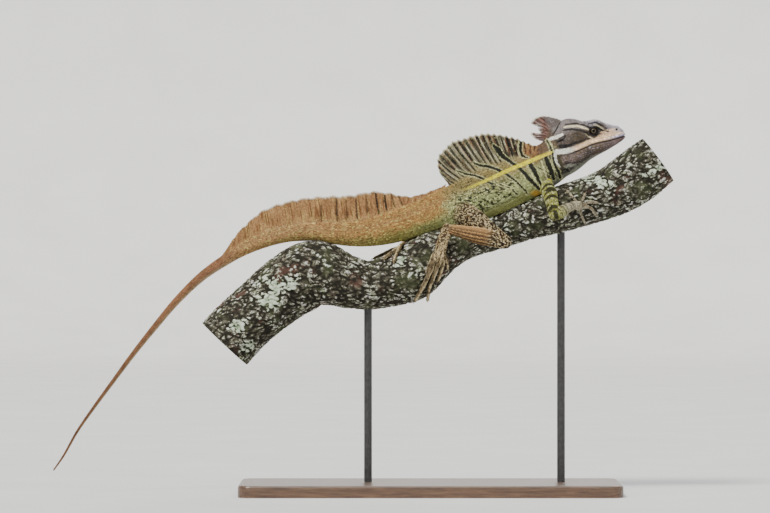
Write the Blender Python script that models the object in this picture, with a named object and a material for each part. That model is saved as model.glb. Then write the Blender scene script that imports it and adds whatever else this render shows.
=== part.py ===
"""A male common basilisk, life size, on a cut length of branch that a plain display stand holds.

Places and sizes are in millimetres, from the centre of the base's underside. +X is the way that the
animal faces, +Y its left side and +Z up. Meshes are written in metres.
"""

import math

import bmesh
import bpy
import numpy as np
from mathutils import Vector

MM = 0.001
GAP = 0.3  # free space between neighbouring pieces
GROW = 0.35  # how far a cutter stands out from the piece whose shape it has

# The stand
BASE_SIZE = (380.0, 150.0, 12.0)
BASE_CORNER = 12.0
ROD_RADIUS = 4.0
ROD_PLACES = {"stand_rod_front": 131.0, "stand_rod_rear": -62.0}
ROD_BITE = 6.0  # how far a rod would run into the bark if it weren't cut to it

# The branch: x, z of its middle and its radius, from its left end to its right end
BRANCH_ROWS = (
    (-205, 150, 30), (-190, 166, 30.5), (-168, 186, 31), (-141, 207, 31), (-112, 217, 29.5),
    (-80, 211, 25.5), (-62, 208.5, 24), (-43, 212.5, 26), (-20, 221.5, 28.5), (2, 236.5, 24.5),
    (30, 251, 19.5), (60, 261, 18), (90, 271, 19), (120, 281, 22), (150, 290.5, 23.5),
    (180, 302, 25.5), (207, 318.5, 27), (228, 334, 26.5),
)
BRANCH_STEPS, BRANCH_SIDES = 42, 20
KNOT_AT, KNOT_HEIGHT, KNOT_LENGTH, KNOT_SPREAD = -116.0, 8.0, 24.0, 0.95

# The body from the head's back plane to the tail's tip: x, y, z of its middle, half its height and
# half its width
BODY_ROWS = (
    (124, 0, 334, 21.0, 14.5), (115, 0, 326, 19.8, 15.2), (100, 0, 316.5, 21, 18), (82, 0, 308, 22.5, 20.5),
    (63, 0, 300, 24, 21.5), (45, 0, 293.5, 23.5, 20), (28, 0, 289, 21.5, 16.5), (10, 0, 284, 18.5, 13.5),
    (-10, 0, 276.5, 16.8, 12), (-30, 0, 269, 15.8, 11), (-47, 0, 264, 14.5, 10.2), (-64, 0, 260.7, 12.8, 9.3),
    (-89, 0, 260, 10.8, 8.2), (-115, 0, 262, 8.8, 7), (-141, 0, 260, 7.5, 6.2), (-168, 0, 252.5, 6.6, 5.6),
    (-190, 1, 243, 5.9, 5.1), (-208, 2, 232, 5.1, 4.6), (-226, 4, 219.5, 4.4, 4.1), (-251, 7, 196, 3.6, 3.5),
    (-277, 10, 165.4, 2.9, 2.9), (-298, 12, 139, 2.35, 2.35), (-318, 13, 112, 1.9, 1.9),
    (-338.5, 13, 84, 1.5, 1.5), (-353, 12, 63, 1.2, 1.2), (-369, 11, 35, 0.85, 0.85),
    (-377.4, 10, 23, 0.5, 0.5),
)
BACK_PINCH = 0.5  # how much narrower the back is than a plain oval, at its ridge
# Each length of the body: its first and last row above, the rings between them and its sides
BODY_PIECES = {
    "neck": (0, 2.4, 6, 30),
    "torso": (2.4, 7.0, 13, 30),
    "tail_base": (7.0, 11.0, 9, 20),
    "tail_middle": (11.0, 16.0, 11, 16),
    "tail_rear": (16.0, 21.0, 10, 12),
    "tail_tip": (21.0, 26.0, 9, 8),
}

# The head, in its own frame: along it from the back plane, and up from its middle
HEAD_ORIGIN = (126.0, 341.0)
HEAD_PITCH = math.radians(18)
HEAD_STATIONS = (4, 12, 20, 28, 35, 42, 48, 55, 62, 68, 71)
CROWN_UP = (23, 28.3, 29.6, 27, 22, 20.7, 20, 14.2, 9.2, 5.5, 2)
BROW_OUT = (6, 6, 5.6, 6.2, 8, 9.6, 9, 6.4, 4.8, 3.2, 1.6)
BROW_UP = (17, 21, 22.5, 21, 18.4, 18.5, 16.6, 11.6, 7.6, 4.4, 1)
CHEEK_OUT = (14.6, 15, 14.6, 13.4, 11.8, 9.8, 9, 7.8, 6.3, 4.3, 2.1)
CHEEK_UP = (6, 7, 8, 8.5, 8.3, 7.8, 7, 5, 2.8, 0.6, -1.2)
LIP_OUT = (16, 16.6, 16, 14.6, 13, 11.6, 10.4, 8.8, 7.1, 4.8, 2.4)
LIP_UP = (-4.5, -4.8, -4.8, -3.9, -3.1, -3.1, -3.8, -4.7, -4.9, -5, -4.4)
JAW_OUT = (13.2, 14, 13, 11, 9.4, 8.2, 7.2, 6, 4.6, 2.9, 1.3)
JAW_UP = (-18, -17.5, -15.5, -12.2, -11, -10.8, -10.6, -10, -9, -7.6, -5.8)
CHIN_UP = (-25.5, -23.8, -21.4, -18, -15.8, -14.5, -13.4, -11.9, -10, -7.9, -6.1)
HEAD_SIDES = 30
HEAD_RINGS = (6, 12, 18, 23, 27.5, 32, 36, 40, 44, 48, 52, 56.5, 61, 65, 68.5, 70.6)
MOUTH_CORNER, MOUTH_GAP = 14.5, 0.6
CLEAR_OF_HEAD = 45.0  # a reach past the head's sides, for the tool that parts the jaws

EYE_PLACE = (42, 9.3)  # along and up, in the head's frame
EYE_OUT, EYE_RADIUS = 6.3, 5.0
LID_OPENING, LID_THICKNESS = (5.0, 3.8), 1.25  # half its length and half its height, then the rim's radius
LID_OUT, LID_CURVE = 9.6, 0.5  # how far out the rim is at its top, and how much less at its corners
LID_STEPS, LID_SIDES = 14, 6
EAR_PLACE, EAR_RADIUS, EAR_OUT, EAR_DEPTH = (8.0, 7.0), 4.6, 17.6, 0.6
NOSTRIL_PLACE, NOSTRIL_RADIUS, NOSTRIL_OUT, NOSTRIL_DEPTH = (64.6, 3.6), 0.9, 5.4, 1.6

# Fins: where each ray's tip is, from front to back, as x and z
CREST_TIPS = (
    (14.5, 30.8), (9, 34.8), (3.1, 38.4), (-4.5, 40.9), (-10.5, 40.2), (-15, 37), (-17.4, 32.5),
    (-18, 29), (-18.6, 25.5), (-16.2, 20.6), (-9.5, 15.8), (-5.5, 14.2),
)
CREST_ROOTS = ((14, 24), (6, 20), (-2, 12))
CREST_RAYS = 15
CREST_TEARS = {8: 0.72, 9: 0.85}  # the rays whose tips are torn away, and how much of each is left
BACK_TIPS = (
    (110.5, 350.6), (105, 348.7), (99.5, 351), (93.5, 353.4), (85.4, 356.6), (79.6, 358.4),
    (72, 359.6), (57, 361.2), (43, 359.4), (33, 356), (22, 353), (13.5, 345), (7.8, 338.5), (7, 329),
    (10.5, 319.5), (17.5, 313.5),
)
BACK_RAYS = 24
TAIL_TIPS = (
    (15.6, 309.8), (2, 304), (-23, 298.5), (-39, 301.5), (-56, 303.5), (-81, 299.5), (-106, 298.5),
    (-130, 296), (-155, 289.5), (-172, 281.5), (-181, 273.5), (-192, 262.5), (-201, 249), (-206, 241),
)
TAIL_RAYS = 31
FIN_ROOT_THICK, FIN_EDGE_THICK, RAY_PROUD = 3.6, 0.9, 0.45

# Limbs: x, y, z, half the thickness across the picture and half the thickness towards it
THIGH = {
    "right": ((26, -5, 285, 12.5, 8), (37, -19, 278, 11.8, 9.5), (51, -31, 268, 10.2, 9),
              (63, -38, 259, 8, 7.4), (74, -42, 251.5, 6.2, 6)),
    "left": ((26, 5, 285, 12.5, 8), (31, 21, 277, 11.8, 9.5), (36, 36, 267, 10.2, 9),
             (41, 48, 259, 8, 7.4), (45, 58, 251.5, 6.2, 6)),
}
SHIN = {
    "right": ((73, -43, 251.5, 6, 5.6), (60, -43.5, 255.5, 7.8, 6.8), (45, -42, 258.5, 8, 7),
              (30, -38.5, 262, 6, 5.4), (18, -35, 265, 4.2, 3.8)),
    "left": ((44.5, 58.5, 251.5, 6, 5.6), (34, 53, 254.5, 7.8, 6.8), (21, 44, 258, 8, 7),
             (9, 35, 261, 6, 5.4), (-2, 26.5, 263.5, 4.2, 3.8)),
}
FOOT = {
    "right": ((17, -34.5, 266, 5, 3.6), (13.5, -33, 256, 6.6, 3.6), (10.5, -30.5, 246, 7.6, 3.2),
              (8.5, -29, 236.5, 7.2, 2.6)),
    "left": ((-1.5, 26, 264.5, 3.6, 5), (-9, 20, 259.5, 3.4, 6.2), (-17, 15, 255.5, 3, 6.8),
             (-24.5, 10, 252, 2.5, 6.4)),
}
UPPER_ARM = {
    "right": ((115, -8, 308, 8.6, 6.5), (118, -18, 302, 8, 7), (121, -29, 291, 6.8, 6.2),
              (122.5, -38, 279, 5.4, 5)),
    "left": ((115, 8, 308, 8.6, 6.5), (118, 18, 303, 8, 7), (122, 29, 293, 6.6, 6.2),
             (124, 38, 282, 5.2, 5)),
}
FOREARM = {
    "right": ((122.5, -38.5, 278, 5.2, 4.6), (129, -36, 281.5, 6, 5), (136, -32.5, 285.5, 4.6, 4),
              (143, -29.5, 288.5, 3.4, 3.1)),
    "left": ((124, 38.5, 281, 5, 4.6), (131, 36, 284.5, 5.8, 5), (139, 32.5, 288.5, 4.4, 4),
             (147, 29.5, 291.5, 3.4, 3.1)),
}
HAND = {
    "right": ((143, -29.3, 288.6, 4, 2.6), (148.5, -28.6, 287.8, 5, 2.6)),
    "left": ((147, 29.3, 291.6, 4, 2.6), (152.5, 28.8, 290.8, 5, 2.6)),
}
# Toes and fingers lie on the bark: x, z of their points, and the side of the branch that each is on,
# -1 for the right
RIGHT_TOES = (
    ((14, 240, -1), (17, 232, -1), (17.5, 225, -1)),
    ((13, 236, -1), (11.5, 225, -1), (7.5, 213.5, -1)),
    ((9.5, 235, -1), (5, 222, -1), (0, 209, -1), (-2.5, 194, -1)),
    ((6, 236, -1), (0, 223, -1), (-6.5, 209, -1), (-15, 193.5, -1)),
    ((5, 241, -1), (0.5, 232.5, -1), (-3.5, 223, -1)),
)
LEFT_TOES = (
    ((-20, 253.5, 1), (-24, 249.5, 1), (-25, 242, 1)),
    ((-23, 252.5, 1), (-30, 247.5, -1), (-33.5, 240, -1), (-36, 232.5, -1)),
    ((-25, 251, 1), (-36, 243, -1), (-46, 236, -1)),
    ((-26, 249, 1), (-40, 243, 1), (-55, 236, 1)),
    ((-21, 249, 1), (-31, 241, 1), (-39, 231, 1)),
)
RIGHT_FINGERS = (
    ((147, 289.5, -1), (141.5, 296.5, -1), (136, 303, -1)),
    ((149.5, 290, -1), (152, 295, -1), (154, 299.5, -1)),
    ((151, 288.5, -1), (158, 291.5, -1), (165, 291, -1)),
    ((151, 286.5, -1), (158, 286.5, -1), (164.5, 279.5, -1)),
    ((148.5, 285, -1), (150.5, 278.5, -1), (154, 271.5, -1)),
)
LEFT_SHIFT = (4.0, 3.0)  # how far the left hand is ahead of the right one and above it
LIMB_UP = (0.0, 0.12, 1.0)  # the way that a limb's height is measured in
TOE_RADIUS, FINGER_RADIUS = 2.2, 1.7
TOE_SHARES = (0.86, 0.94, 1.0, 1.06, 0.9)  # how thick each toe is beside the third
TOE_LIFT = 0.55  # free space under a toe
TOE_RINGS, TOE_TAPER, TOE_JOINTS = 7, 0.34, 0.06
CLAW_LENGTH = {"foot": 5.0, "hand": 4.0}
CLAW_RINGS = ((0.45, 0.42, 0.36), (1.0, 0.07, 0.13))  # shares of its length, how high, how thick
HANG_DEPTH = 7.0  # how far towards its side a toe stays that hangs clear of the bark

COLOURS = {
    "skin_head": ((0.20, 0.16, 0.13), 0.6),
    "skin_body": ((0.27, 0.26, 0.13), 0.6),
    "skin_tail": ((0.36, 0.21, 0.10), 0.6),
    "skin_limb": ((0.27, 0.21, 0.12), 0.6),
    "fin": ((0.30, 0.20, 0.12), 0.55),
    "eye": ((0.05, 0.03, 0.02), 0.1),
    "bark": ((0.22, 0.22, 0.19), 0.9),
    "stand_wood": ((0.16, 0.09, 0.05), 0.45),
    "stand_metal": ((0.05, 0.05, 0.05), 0.4),
}


class Rail:
    """A smooth line through rows of numbers, whose first columns are a place."""

    def __init__(self, rows, place=3):
        self.rows = np.array(rows, float)
        steps = np.linalg.norm(np.diff(self.rows[:, :place], axis=0), axis=1)
        self.knots = np.concatenate([[0.0], np.cumsum(steps)])
        self.slopes = np.gradient(self.rows, self.knots, axis=0)

    def knot(self, row):
        """How far along the line a row is; a row between two others may be a fraction."""
        return float(np.interp(row, np.arange(len(self.knots)), self.knots))

    def at(self, t):
        i = int(np.clip(np.searchsorted(self.knots, t) - 1, 0, len(self.knots) - 2))
        span = self.knots[i + 1] - self.knots[i]
        u = (t - self.knots[i]) / span
        return (
            (1 + 2 * u) * (1 - u) ** 2 * self.rows[i]
            + u * (1 - u) ** 2 * span * self.slopes[i]
            + u * u * (3 - 2 * u) * self.rows[i + 1]
            + u * u * (u - 1) * span * self.slopes[i + 1]
        )

    def tangent(self, t):
        step = self.knots[-1] * 0.002
        low = max(0.0, t - step)
        high = min(self.knots[-1], t + step)
        way = (self.at(high) - self.at(low))[:3]
        return way / np.linalg.norm(way)


BODY = Rail(BODY_ROWS)
BRANCH = Rail([(x, 0.0, z, r) for x, z, r in BRANCH_ROWS])
HEAD = Rail(
    list(zip(HEAD_STATIONS, CROWN_UP, BROW_OUT, BROW_UP, CHEEK_OUT, CHEEK_UP, LIP_OUT, LIP_UP,
             JAW_OUT, JAW_UP, CHIN_UP)),
    place=1,
)


def unit(v):
    return v / np.linalg.norm(v)


def material(slot):
    made = bpy.data.materials.get(slot)
    if made is None:
        made = bpy.data.materials.new(slot)
        made.use_nodes = True
        shader = made.node_tree.nodes["Principled BSDF"]
        colour, roughness = COLOURS[slot]
        shader.inputs["Base Color"].default_value = (*colour, 1.0)
        shader.inputs["Roughness"].default_value = roughness
        shader.inputs["Metallic"].default_value = 0.0
    return made


def new_object(name, bm):
    bm.normal_update()
    bmesh.ops.recalc_face_normals(bm, faces=bm.faces)
    mesh = bpy.data.meshes.new(name)
    bm.to_mesh(mesh)
    bm.free()
    obj = bpy.data.objects.new(name, mesh)
    bpy.context.scene.collection.objects.link(obj)
    return obj


def loft(name, rings):
    """A closed mesh through rings of points, with a fan of triangles over each end."""
    bm = bmesh.new()
    rows = [[bm.verts.new(Vector(p) * MM) for p in ring] for ring in rings]
    count = len(rows[0])
    for a, b in zip(rows, rows[1:]):
        for i in range(count):
            j = (i + 1) % count
            bm.faces.new((a[i], a[j], b[j], b[i]))
    for ring, points in ((rows[0], rings[0]), (rows[-1], rings[-1])):
        middle = bm.verts.new(Vector(np.mean(points, axis=0)) * MM)
        for i in range(count):
            bm.faces.new((ring[i], ring[(i + 1) % count], middle))
    return new_object(name, bm)


def oval(centre, along, up_guide, tall, wide, sides, pinch=0.0):
    """A ring about centre, across along; tall is towards the guide and wide across it."""
    side = unit(np.cross(along, up_guide))
    up = np.cross(side, along)
    ring = []
    for k in range(sides):
        phi = 2 * math.pi * k / sides
        narrow = 1 - pinch * max(0.0, math.cos(phi)) ** 1.6
        ring.append(centre + up * tall * math.cos(phi) + side * wide * narrow * math.sin(phi))
    return ring


def body_ring(t, sides, grow=0.0):
    x, y, z, tall, wide = BODY.at(t)
    pinch = BACK_PINCH * float(np.interp(t, [0, BODY.knot(16), BODY.knot(20)], [1, 0.8, 0]))
    return oval(np.array((x, y, z)), BODY.tangent(t), (0, 0, 1), tall + grow, wide + grow, sides, pinch)


def body_rings(name, grow=0.0):
    """The rings of one length of the body, short of its neighbours by half a gap at each end."""
    first, last, count, sides = BODY_PIECES[name]
    start, end = BODY.knot(first) + GAP / 2, BODY.knot(last) - GAP / 2
    return [body_ring(t, sides, grow) for t in np.linspace(start, end, count)]


def head_point(along, up, out=0.0):
    """A place in the head's frame as x, y and z."""
    c, s = math.cos(HEAD_PITCH), math.sin(HEAD_PITCH)
    return np.array((HEAD_ORIGIN[0] + along * c - up * s, out, HEAD_ORIGIN[1] + along * s + up * c))


def head_ring(along, grow=0.0, shrink=1.0):
    """The head's outline at a station: a smooth closed line through its crown, brows, cheeks, lips,
    jaw and chin."""
    v = HEAD.at(along - HEAD_STATIONS[0])
    left = [(0.0, v[1]), (v[2], v[3]), (v[4], v[5]), (v[6], v[7]), (v[8], v[9]), (0.0, v[10])]
    marks = np.array(left + [(-y, u) for y, u in left[-2:0:-1]])
    middle = marks.mean(axis=0)
    count = len(marks)
    ring = []
    for k in range(HEAD_SIDES):
        place = k * count / HEAD_SIDES
        i, u = int(place), place - int(place)
        p = [marks[(i + j) % count] for j in (-1, 0, 1, 2)]
        slope_a, slope_b = (p[2] - p[0]) / 2, (p[3] - p[1]) / 2
        point = (
            (1 + 2 * u) * (1 - u) ** 2 * p[1] + u * (1 - u) ** 2 * slope_a
            + u * u * (3 - 2 * u) * p[2] + u * u * (u - 1) * slope_b
        )
        point = middle + (point - middle) * shrink + grow * unit(point - middle)
        ring.append(head_point(along, point[1], point[0]))
    return ring


def head_rings(grow=0.0):
    """From the neck to the tip of the snout. The first ring is the neck's own first one."""
    rings = [body_ring(BODY.knot(0), HEAD_SIDES, grow)]
    shift = unit(-BODY.tangent(0)) * GAP / 2
    rings[0] = [p + shift for p in rings[0]]
    rings += [head_ring(a, grow) for a in HEAD_RINGS]
    rings.append(head_ring(HEAD_STATIONS[-1] + 0.6 + grow, 0, 0.6))
    return rings


def branch_radius(x, phi):
    """The bark's radius: lumps all along it, and one knot on its top."""
    r = BRANCH.at(float(np.interp(x, BRANCH_X, BRANCH_T)))[3]
    lumps = 0.022 * math.sin(3 * phi + x / 17) + 0.02 * math.sin(2 * phi - x / 11 + 1.3)
    knot = KNOT_HEIGHT * math.exp(-(((x - KNOT_AT) / KNOT_LENGTH) ** 2) - (phi / KNOT_SPREAD) ** 2)
    return r * (1 + lumps) + knot


BRANCH_T = np.linspace(0, BRANCH.knots[-1], 400)
BRANCH_X = np.array([BRANCH.at(t)[0] for t in BRANCH_T])
BRANCH_Z = np.array([BRANCH.at(t)[2] for t in BRANCH_T])


def branch_frame(t):
    """A point of the branch's middle line, and the way up from it across the branch."""
    along = BRANCH.tangent(t)
    return BRANCH.at(t)[:3], np.array((-along[2], 0.0, along[0]))


def branch_ring(t, sides, grow=0.0):
    centre, up = branch_frame(t)
    ring = []
    for k in range(sides):
        phi = 2 * math.pi * k / sides
        turned = phi if phi <= math.pi else phi - 2 * math.pi
        r = branch_radius(centre[0], turned) + grow
        ring.append(centre + r * (math.cos(phi) * up + math.sin(phi) * np.array((0, -1.0, 0))))
    return ring


def branch_loft(name, grow=0.0):
    stops = np.linspace(0, BRANCH.knots[-1], BRANCH_STEPS)
    return loft(name, [branch_ring(t, BRANCH_SIDES, grow) for t in stops])


def on_bark(x, z, side, lift):
    """The place at x and z that lies on the bark, lifted off it, on one side of the branch."""
    k = int(np.argmin((BRANCH_X - x) ** 2 + (BRANCH_Z - z) ** 2))
    centre, up = branch_frame(BRANCH_T[k])
    high = float(np.dot(np.array((x, 0, z)) - centre, up))
    phi = math.acos(max(-1.0, min(1.0, high / BRANCH.at(BRANCH_T[k])[3]))) * (-side)
    reach = branch_radius(centre[0], phi) + lift
    depth = math.sqrt(max(0.0, reach**2 - high**2))
    if high < 0:
        depth = max(depth, HANG_DEPTH)
    return np.array((x, side * depth, z))


def tube(name, rows, sides, guide, round_end=True, grow=0.0, rings=0):
    """A limb: ovals along a smooth line through rows, rounded over at its ends."""
    rail = Rail(rows)
    stops = np.linspace(0, rail.knots[-1], rings or 2 * len(rows) - 1)
    made = []
    for t in stops:
        row = rail.at(t)
        made.append((row[:3], rail.tangent(t), row[3] + grow, row[4] + grow))
    start, end = made[0], made[-1]
    for turn in (42, 75):
        a = math.radians(turn)
        reach = start[1] * math.sin(a) * (start[3] + start[2]) / 2
        made.insert(0, (start[0] - reach, start[1], start[2] * math.cos(a), start[3] * math.cos(a)))
        if round_end:
            reach = end[1] * math.sin(a) * (end[3] + end[2]) / 2
            made.append((end[0] + reach, end[1], end[2] * math.cos(a), end[3] * math.cos(a)))
    return loft(name, [oval(c, d, guide, a, b, sides) for c, d, a, b in made])


def digit(name, marks, palm, radius, claw):
    """One toe: it starts inside the palm, tapers, swells a little at each joint, and ends in a hooked
    claw."""
    path = [on_bark(x, z, side, radius * 0.9 + TOE_LIFT) for x, z, side in marks]
    middles = [palm.at(t)[:3] for t in np.linspace(0, palm.knots[-1], 12)]
    root = min(middles, key=lambda p: float(np.linalg.norm(p - path[0])))
    if np.linalg.norm(root - path[0]) > radius:
        path.insert(0, root)
    path = Rail(path)
    rows = []
    for k in range(TOE_RINGS):
        u = k / (TOE_RINGS - 1)
        thick = radius * (1 - TOE_TAPER * u) * (1 + TOE_JOINTS * (-1) ** (k + 1))
        rows.append((*path.at(u * path.knots[-1]), thick, thick))
    way = path.tangent(path.knots[-1])
    tip = path.at(path.knots[-1])
    away = unit(np.array((0.0, tip[1], abs(tip[1]) / 3)))
    for share, lift, thick in CLAW_RINGS:
        spot = tip + way * (share * claw + TOE_LIFT) + away * lift
        rows.append((*spot, thick * radius, thick * radius))
    return tube(name, rows, 6, LIMB_UP, round_end=False, rings=len(rows))


def finish_modifiers(obj):
    """Applies the modifiers and keeps the largest closed surface."""
    bpy.context.view_layer.update()
    graph = bpy.context.evaluated_depsgraph_get()
    mesh = bpy.data.meshes.new_from_object(obj.evaluated_get(graph))
    obj.modifiers.clear()
    obj.data = mesh
    bm = bmesh.new()
    bm.from_mesh(mesh)
    bmesh.ops.remove_doubles(bm, verts=bm.verts, dist=0.002 * MM)
    bmesh.ops.triangulate(bm, faces=bm.faces)
    left, shells = set(bm.faces), []
    while left:
        start = left.pop()
        shell, front = [start], [start]
        while front:
            for edge in front.pop().edges:
                for face in edge.link_faces:
                    if len(edge.link_faces) == 2 and face in left:
                        left.discard(face)
                        shell.append(face)
                        front.append(face)
        shells.append(shell)
    largest = set(max(shells, key=len))
    bmesh.ops.delete(bm, geom=[f for f in bm.faces if f not in largest], context="FACES")
    bmesh.ops.delete(bm, geom=[v for v in bm.verts if not v.link_faces], context="VERTS")
    bmesh.ops.recalc_face_normals(bm, faces=bm.faces)
    bm.to_mesh(mesh)
    bm.free()
    return obj


def boolean(obj, others, operation, keep=()):
    """Joins obj with the other objects, or cuts it by them. They are removed, apart from those kept."""
    group = bpy.data.collections.new("operands")
    for other in others:
        group.objects.link(other)
    step = obj.modifiers.new(operation.lower(), "BOOLEAN")
    step.operand_type = "COLLECTION"
    step.collection = group
    step.operation = operation
    step.solver = "EXACT"
    finish_modifiers(obj)
    bpy.data.collections.remove(group)
    for other in others:
        if other not in keep:
            bpy.data.objects.remove(other)
    return obj


def paint(obj, slot):
    obj.data.materials.clear()
    obj.data.materials.append(material(slot))
    obj.data.shade_smooth()
    return obj


def slab(name, outline, half_width):
    """An outline in the head's frame, pushed out to both sides."""
    bm = bmesh.new()
    sides = []
    for out in (-half_width, half_width):
        sides.append([bm.verts.new(Vector(head_point(a, u, out)) * MM) for a, u in outline])
    near, far = sides
    bm.faces.new(near)
    bm.faces.new(far[::-1])
    for i in range(len(outline)):
        j = (i + 1) % len(outline)
        bm.faces.new((near[i], far[i], far[j], near[j]))
    return new_object(name, bm)


def ball(name, centre, radius, flat=1.0, segments=14, rings=8):
    """A sphere whose poles point to the sides; flat presses it in that way."""
    bm = bmesh.new()
    bmesh.ops.create_uvsphere(bm, u_segments=segments, v_segments=rings, radius=radius * MM)
    for v in bm.verts:
        v.co = Vector((v.co.x, v.co.z * flat, v.co.y)) + Vector(centre) * MM
    return new_object(name, bm)


def lid_ring(name, side):
    """The ring of lid round an eye, lower than it is long."""
    bm = bmesh.new()
    rows = []
    for k in range(LID_STEPS):
        a = 2 * math.pi * k / LID_STEPS
        out = LID_OUT - LID_CURVE * math.cos(a) ** 2
        row = []
        for j in range(LID_SIDES):
            b = 2 * math.pi * j / LID_SIDES
            reach = 1 + LID_THICKNESS * math.cos(b) / LID_OPENING[0]
            along = EYE_PLACE[0] + LID_OPENING[0] * reach * math.cos(a)
            up = EYE_PLACE[1] + LID_OPENING[1] * reach * math.sin(a)
            spot = head_point(along, up, side * (out + LID_THICKNESS * math.sin(b)))
            row.append(bm.verts.new(Vector(spot) * MM))
        rows.append(row)
    for i in range(LID_STEPS):
        for j in range(LID_SIDES):
            a, b = rows[i], rows[(i + 1) % LID_STEPS]
            bm.faces.new((a[j], a[(j + 1) % LID_SIDES], b[(j + 1) % LID_SIDES], b[j]))
    return new_object(name, bm)


def make_head():
    head = loft("head", head_rings())
    lids = [lid_ring(f"lid_{s}", s) for s in (-1, 1)]
    boolean(head, lids, "UNION")
    hollows = []
    for side in (-1, 1):
        eye = head_point(*EYE_PLACE, side * EYE_OUT)
        hollows.append(ball("socket", eye, EYE_RADIUS + GROW))
        ear = head_point(*EAR_PLACE, side * EAR_OUT)
        hollows.append(ball("ear_cup", ear, EAR_RADIUS, EAR_DEPTH, 12, 8))
        nostril = head_point(*NOSTRIL_PLACE, side * NOSTRIL_OUT)
        hollows.append(ball("nostril", nostril, NOSTRIL_RADIUS, NOSTRIL_DEPTH, 8, 6))
    boolean(head, hollows, "DIFFERENCE")
    jaw = head.copy()
    jaw.data = head.data.copy()
    jaw.name = "lower_jaw"
    bpy.context.scene.collection.objects.link(jaw)
    stops = [-CLEAR_OF_HEAD, HEAD_STATIONS[0], MOUTH_CORNER, *HEAD_STATIONS[2:-1], 2 * CLEAR_OF_HEAD]
    line = [(a, float(np.interp(a, HEAD_STATIONS, LIP_UP))) for a in stops]
    gaps = [GAP if a < MOUTH_CORNER else MOUTH_GAP for a in stops]
    for piece, way in ((head, 1), (jaw, -1)):
        half = [(a, u + way * gap / 2) for (a, u), gap in zip(line, gaps)]
        half += [(2 * CLEAR_OF_HEAD, way * CLEAR_OF_HEAD), (-CLEAR_OF_HEAD, way * CLEAR_OF_HEAD)]
        boolean(piece, [slab("half", half, CLEAR_OF_HEAD)], "INTERSECT")
    paint(head, "skin_head")
    paint(jaw, "skin_head")
    for side, name in ((-1, "eye_right"), (1, "eye_left")):
        paint(ball(name, head_point(*EYE_PLACE, side * EYE_OUT), EYE_RADIUS), "eye")


def fin(name, roots, tips, rays, rows, thick, webs=1.6, tears=None, lean=0.0):
    """A fin: a membrane from a root line to a line of ray tips, with a ridge on each ray and a notch in
    the edge between them. Both faces are split into triangles alike."""
    root_rail, tip_rail = Rail(roots), Rail(tips)
    columns = 2 * (rays - 1) + 1
    faces = {1: [], -1: []}
    bm = bmesh.new()
    for c in range(columns):
        u = c / (columns - 1)
        root = root_rail.at(u * root_rail.knots[-1])
        tip = tip_rail.at(u * tip_rail.knots[-1])
        on_ray = 1.0 - c % 2
        length = np.linalg.norm(tip - root)
        reach = (1 - (1 - on_ray) * webs / max(length, 2 * webs)) * (tears or {}).get(c // 2, 1.0)
        bow = unit(np.array((-(tip - root)[2], 0, (tip - root)[0]))) * lean * length
        for side in (1, -1):
            column = []
            for r in range(rows + 1):
                v = r / rows * reach
                place = root + (tip - root) * v + bow * 4 * v * (1 - v)
                half = (thick * (1 - v) ** 1.3 + FIN_EDGE_THICK) / 2 + RAY_PROUD * on_ray * (1 - 0.4 * v)
                column.append(bm.verts.new(Vector(place + np.array((0, side * half, 0))) * MM))
            faces[side].append(column)
    for c in range(columns - 1):
        for r in range(rows):
            for side in (1, -1):
                a, b = faces[side][c], faces[side][c + 1]
                for tri in ((a[r], b[r], b[r + 1]), (a[r], b[r + 1], a[r + 1])):
                    bm.faces.new(tri)
        for r in (0, rows):
            a, b, d, e = (faces[1][c][r], faces[1][c + 1][r], faces[-1][c + 1][r], faces[-1][c][r])
            bm.faces.new((a, b, d))
            bm.faces.new((a, d, e))
    for c in (0, columns - 1):
        for r in range(rows):
            a, b, d, e = (faces[1][c][r], faces[1][c][r + 1], faces[-1][c][r + 1], faces[-1][c][r])
            bm.faces.new((a, b, d))
            bm.faces.new((a, d, e))
    return new_object(name, bm)


def back_line(first, last, count, sink):
    """Points under the ridge of the back, from one row of the body to another."""
    points = []
    for t in np.linspace(BODY.knot(first), BODY.knot(last), count):
        x, y, z, tall, wide = BODY.at(t)
        along = BODY.tangent(t)
        side = unit(np.cross(along, (0, 0, 1)))
        points.append(np.array((x, y, z)) + np.cross(side, along) * (tall - sink))
    return points


def make_fins():
    cutter = loft("body_cutter", body_rings("neck", GROW) + body_rings("torso", GROW))
    tail = loft("tail_cutter", body_rings("tail_base", GROW))
    rear = loft("rear_cutter", body_rings("tail_middle", GROW))
    end = loft("end_cutter", body_rings("tail_rear", GROW))
    skull = loft("skull_cutter", head_rings(GROW))
    crest_tips = [head_point(a, u) for a, u in CREST_TIPS]
    crest_roots = [head_point(a, u) for a, u in CREST_ROOTS]
    crest = fin("head_crest", crest_roots, crest_tips, CREST_RAYS, 5, 4.4, 0.8, CREST_TEARS)
    boolean(crest, [skull, cutter], "DIFFERENCE", keep=(skull, cutter))
    back_tips = [np.array((x, 0, z)) for x, z in BACK_TIPS]
    back = fin("back_sail", back_line(0.5, 6.2, 9, 3.0), back_tips, BACK_RAYS, 5, FIN_ROOT_THICK, 1.9,
               lean=0.03)
    boolean(back, [skull, cutter, tail], "DIFFERENCE", keep=(cutter, tail))
    tail_tips = [np.array((x, 0.0, z)) for x, z in TAIL_TIPS]
    sail = fin("tail_sail", back_line(6.55, 17.2, 16, 2.5), tail_tips, TAIL_RAYS, 4, FIN_ROOT_THICK, 1.5)
    boolean(sail, [cutter, tail, rear, end], "DIFFERENCE")
    for obj in (crest, back, sail):
        paint(obj, "fin")


def make_body(branch_cutter):
    for name in BODY_PIECES:
        piece = loft(name, body_rings(name))
        if name in ("neck", "torso", "tail_base", "tail_middle"):
            boolean(piece, [branch_cutter], "DIFFERENCE", keep=(branch_cutter,))
        paint(piece, "skin_tail" if name.startswith("tail") else "skin_body")


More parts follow.
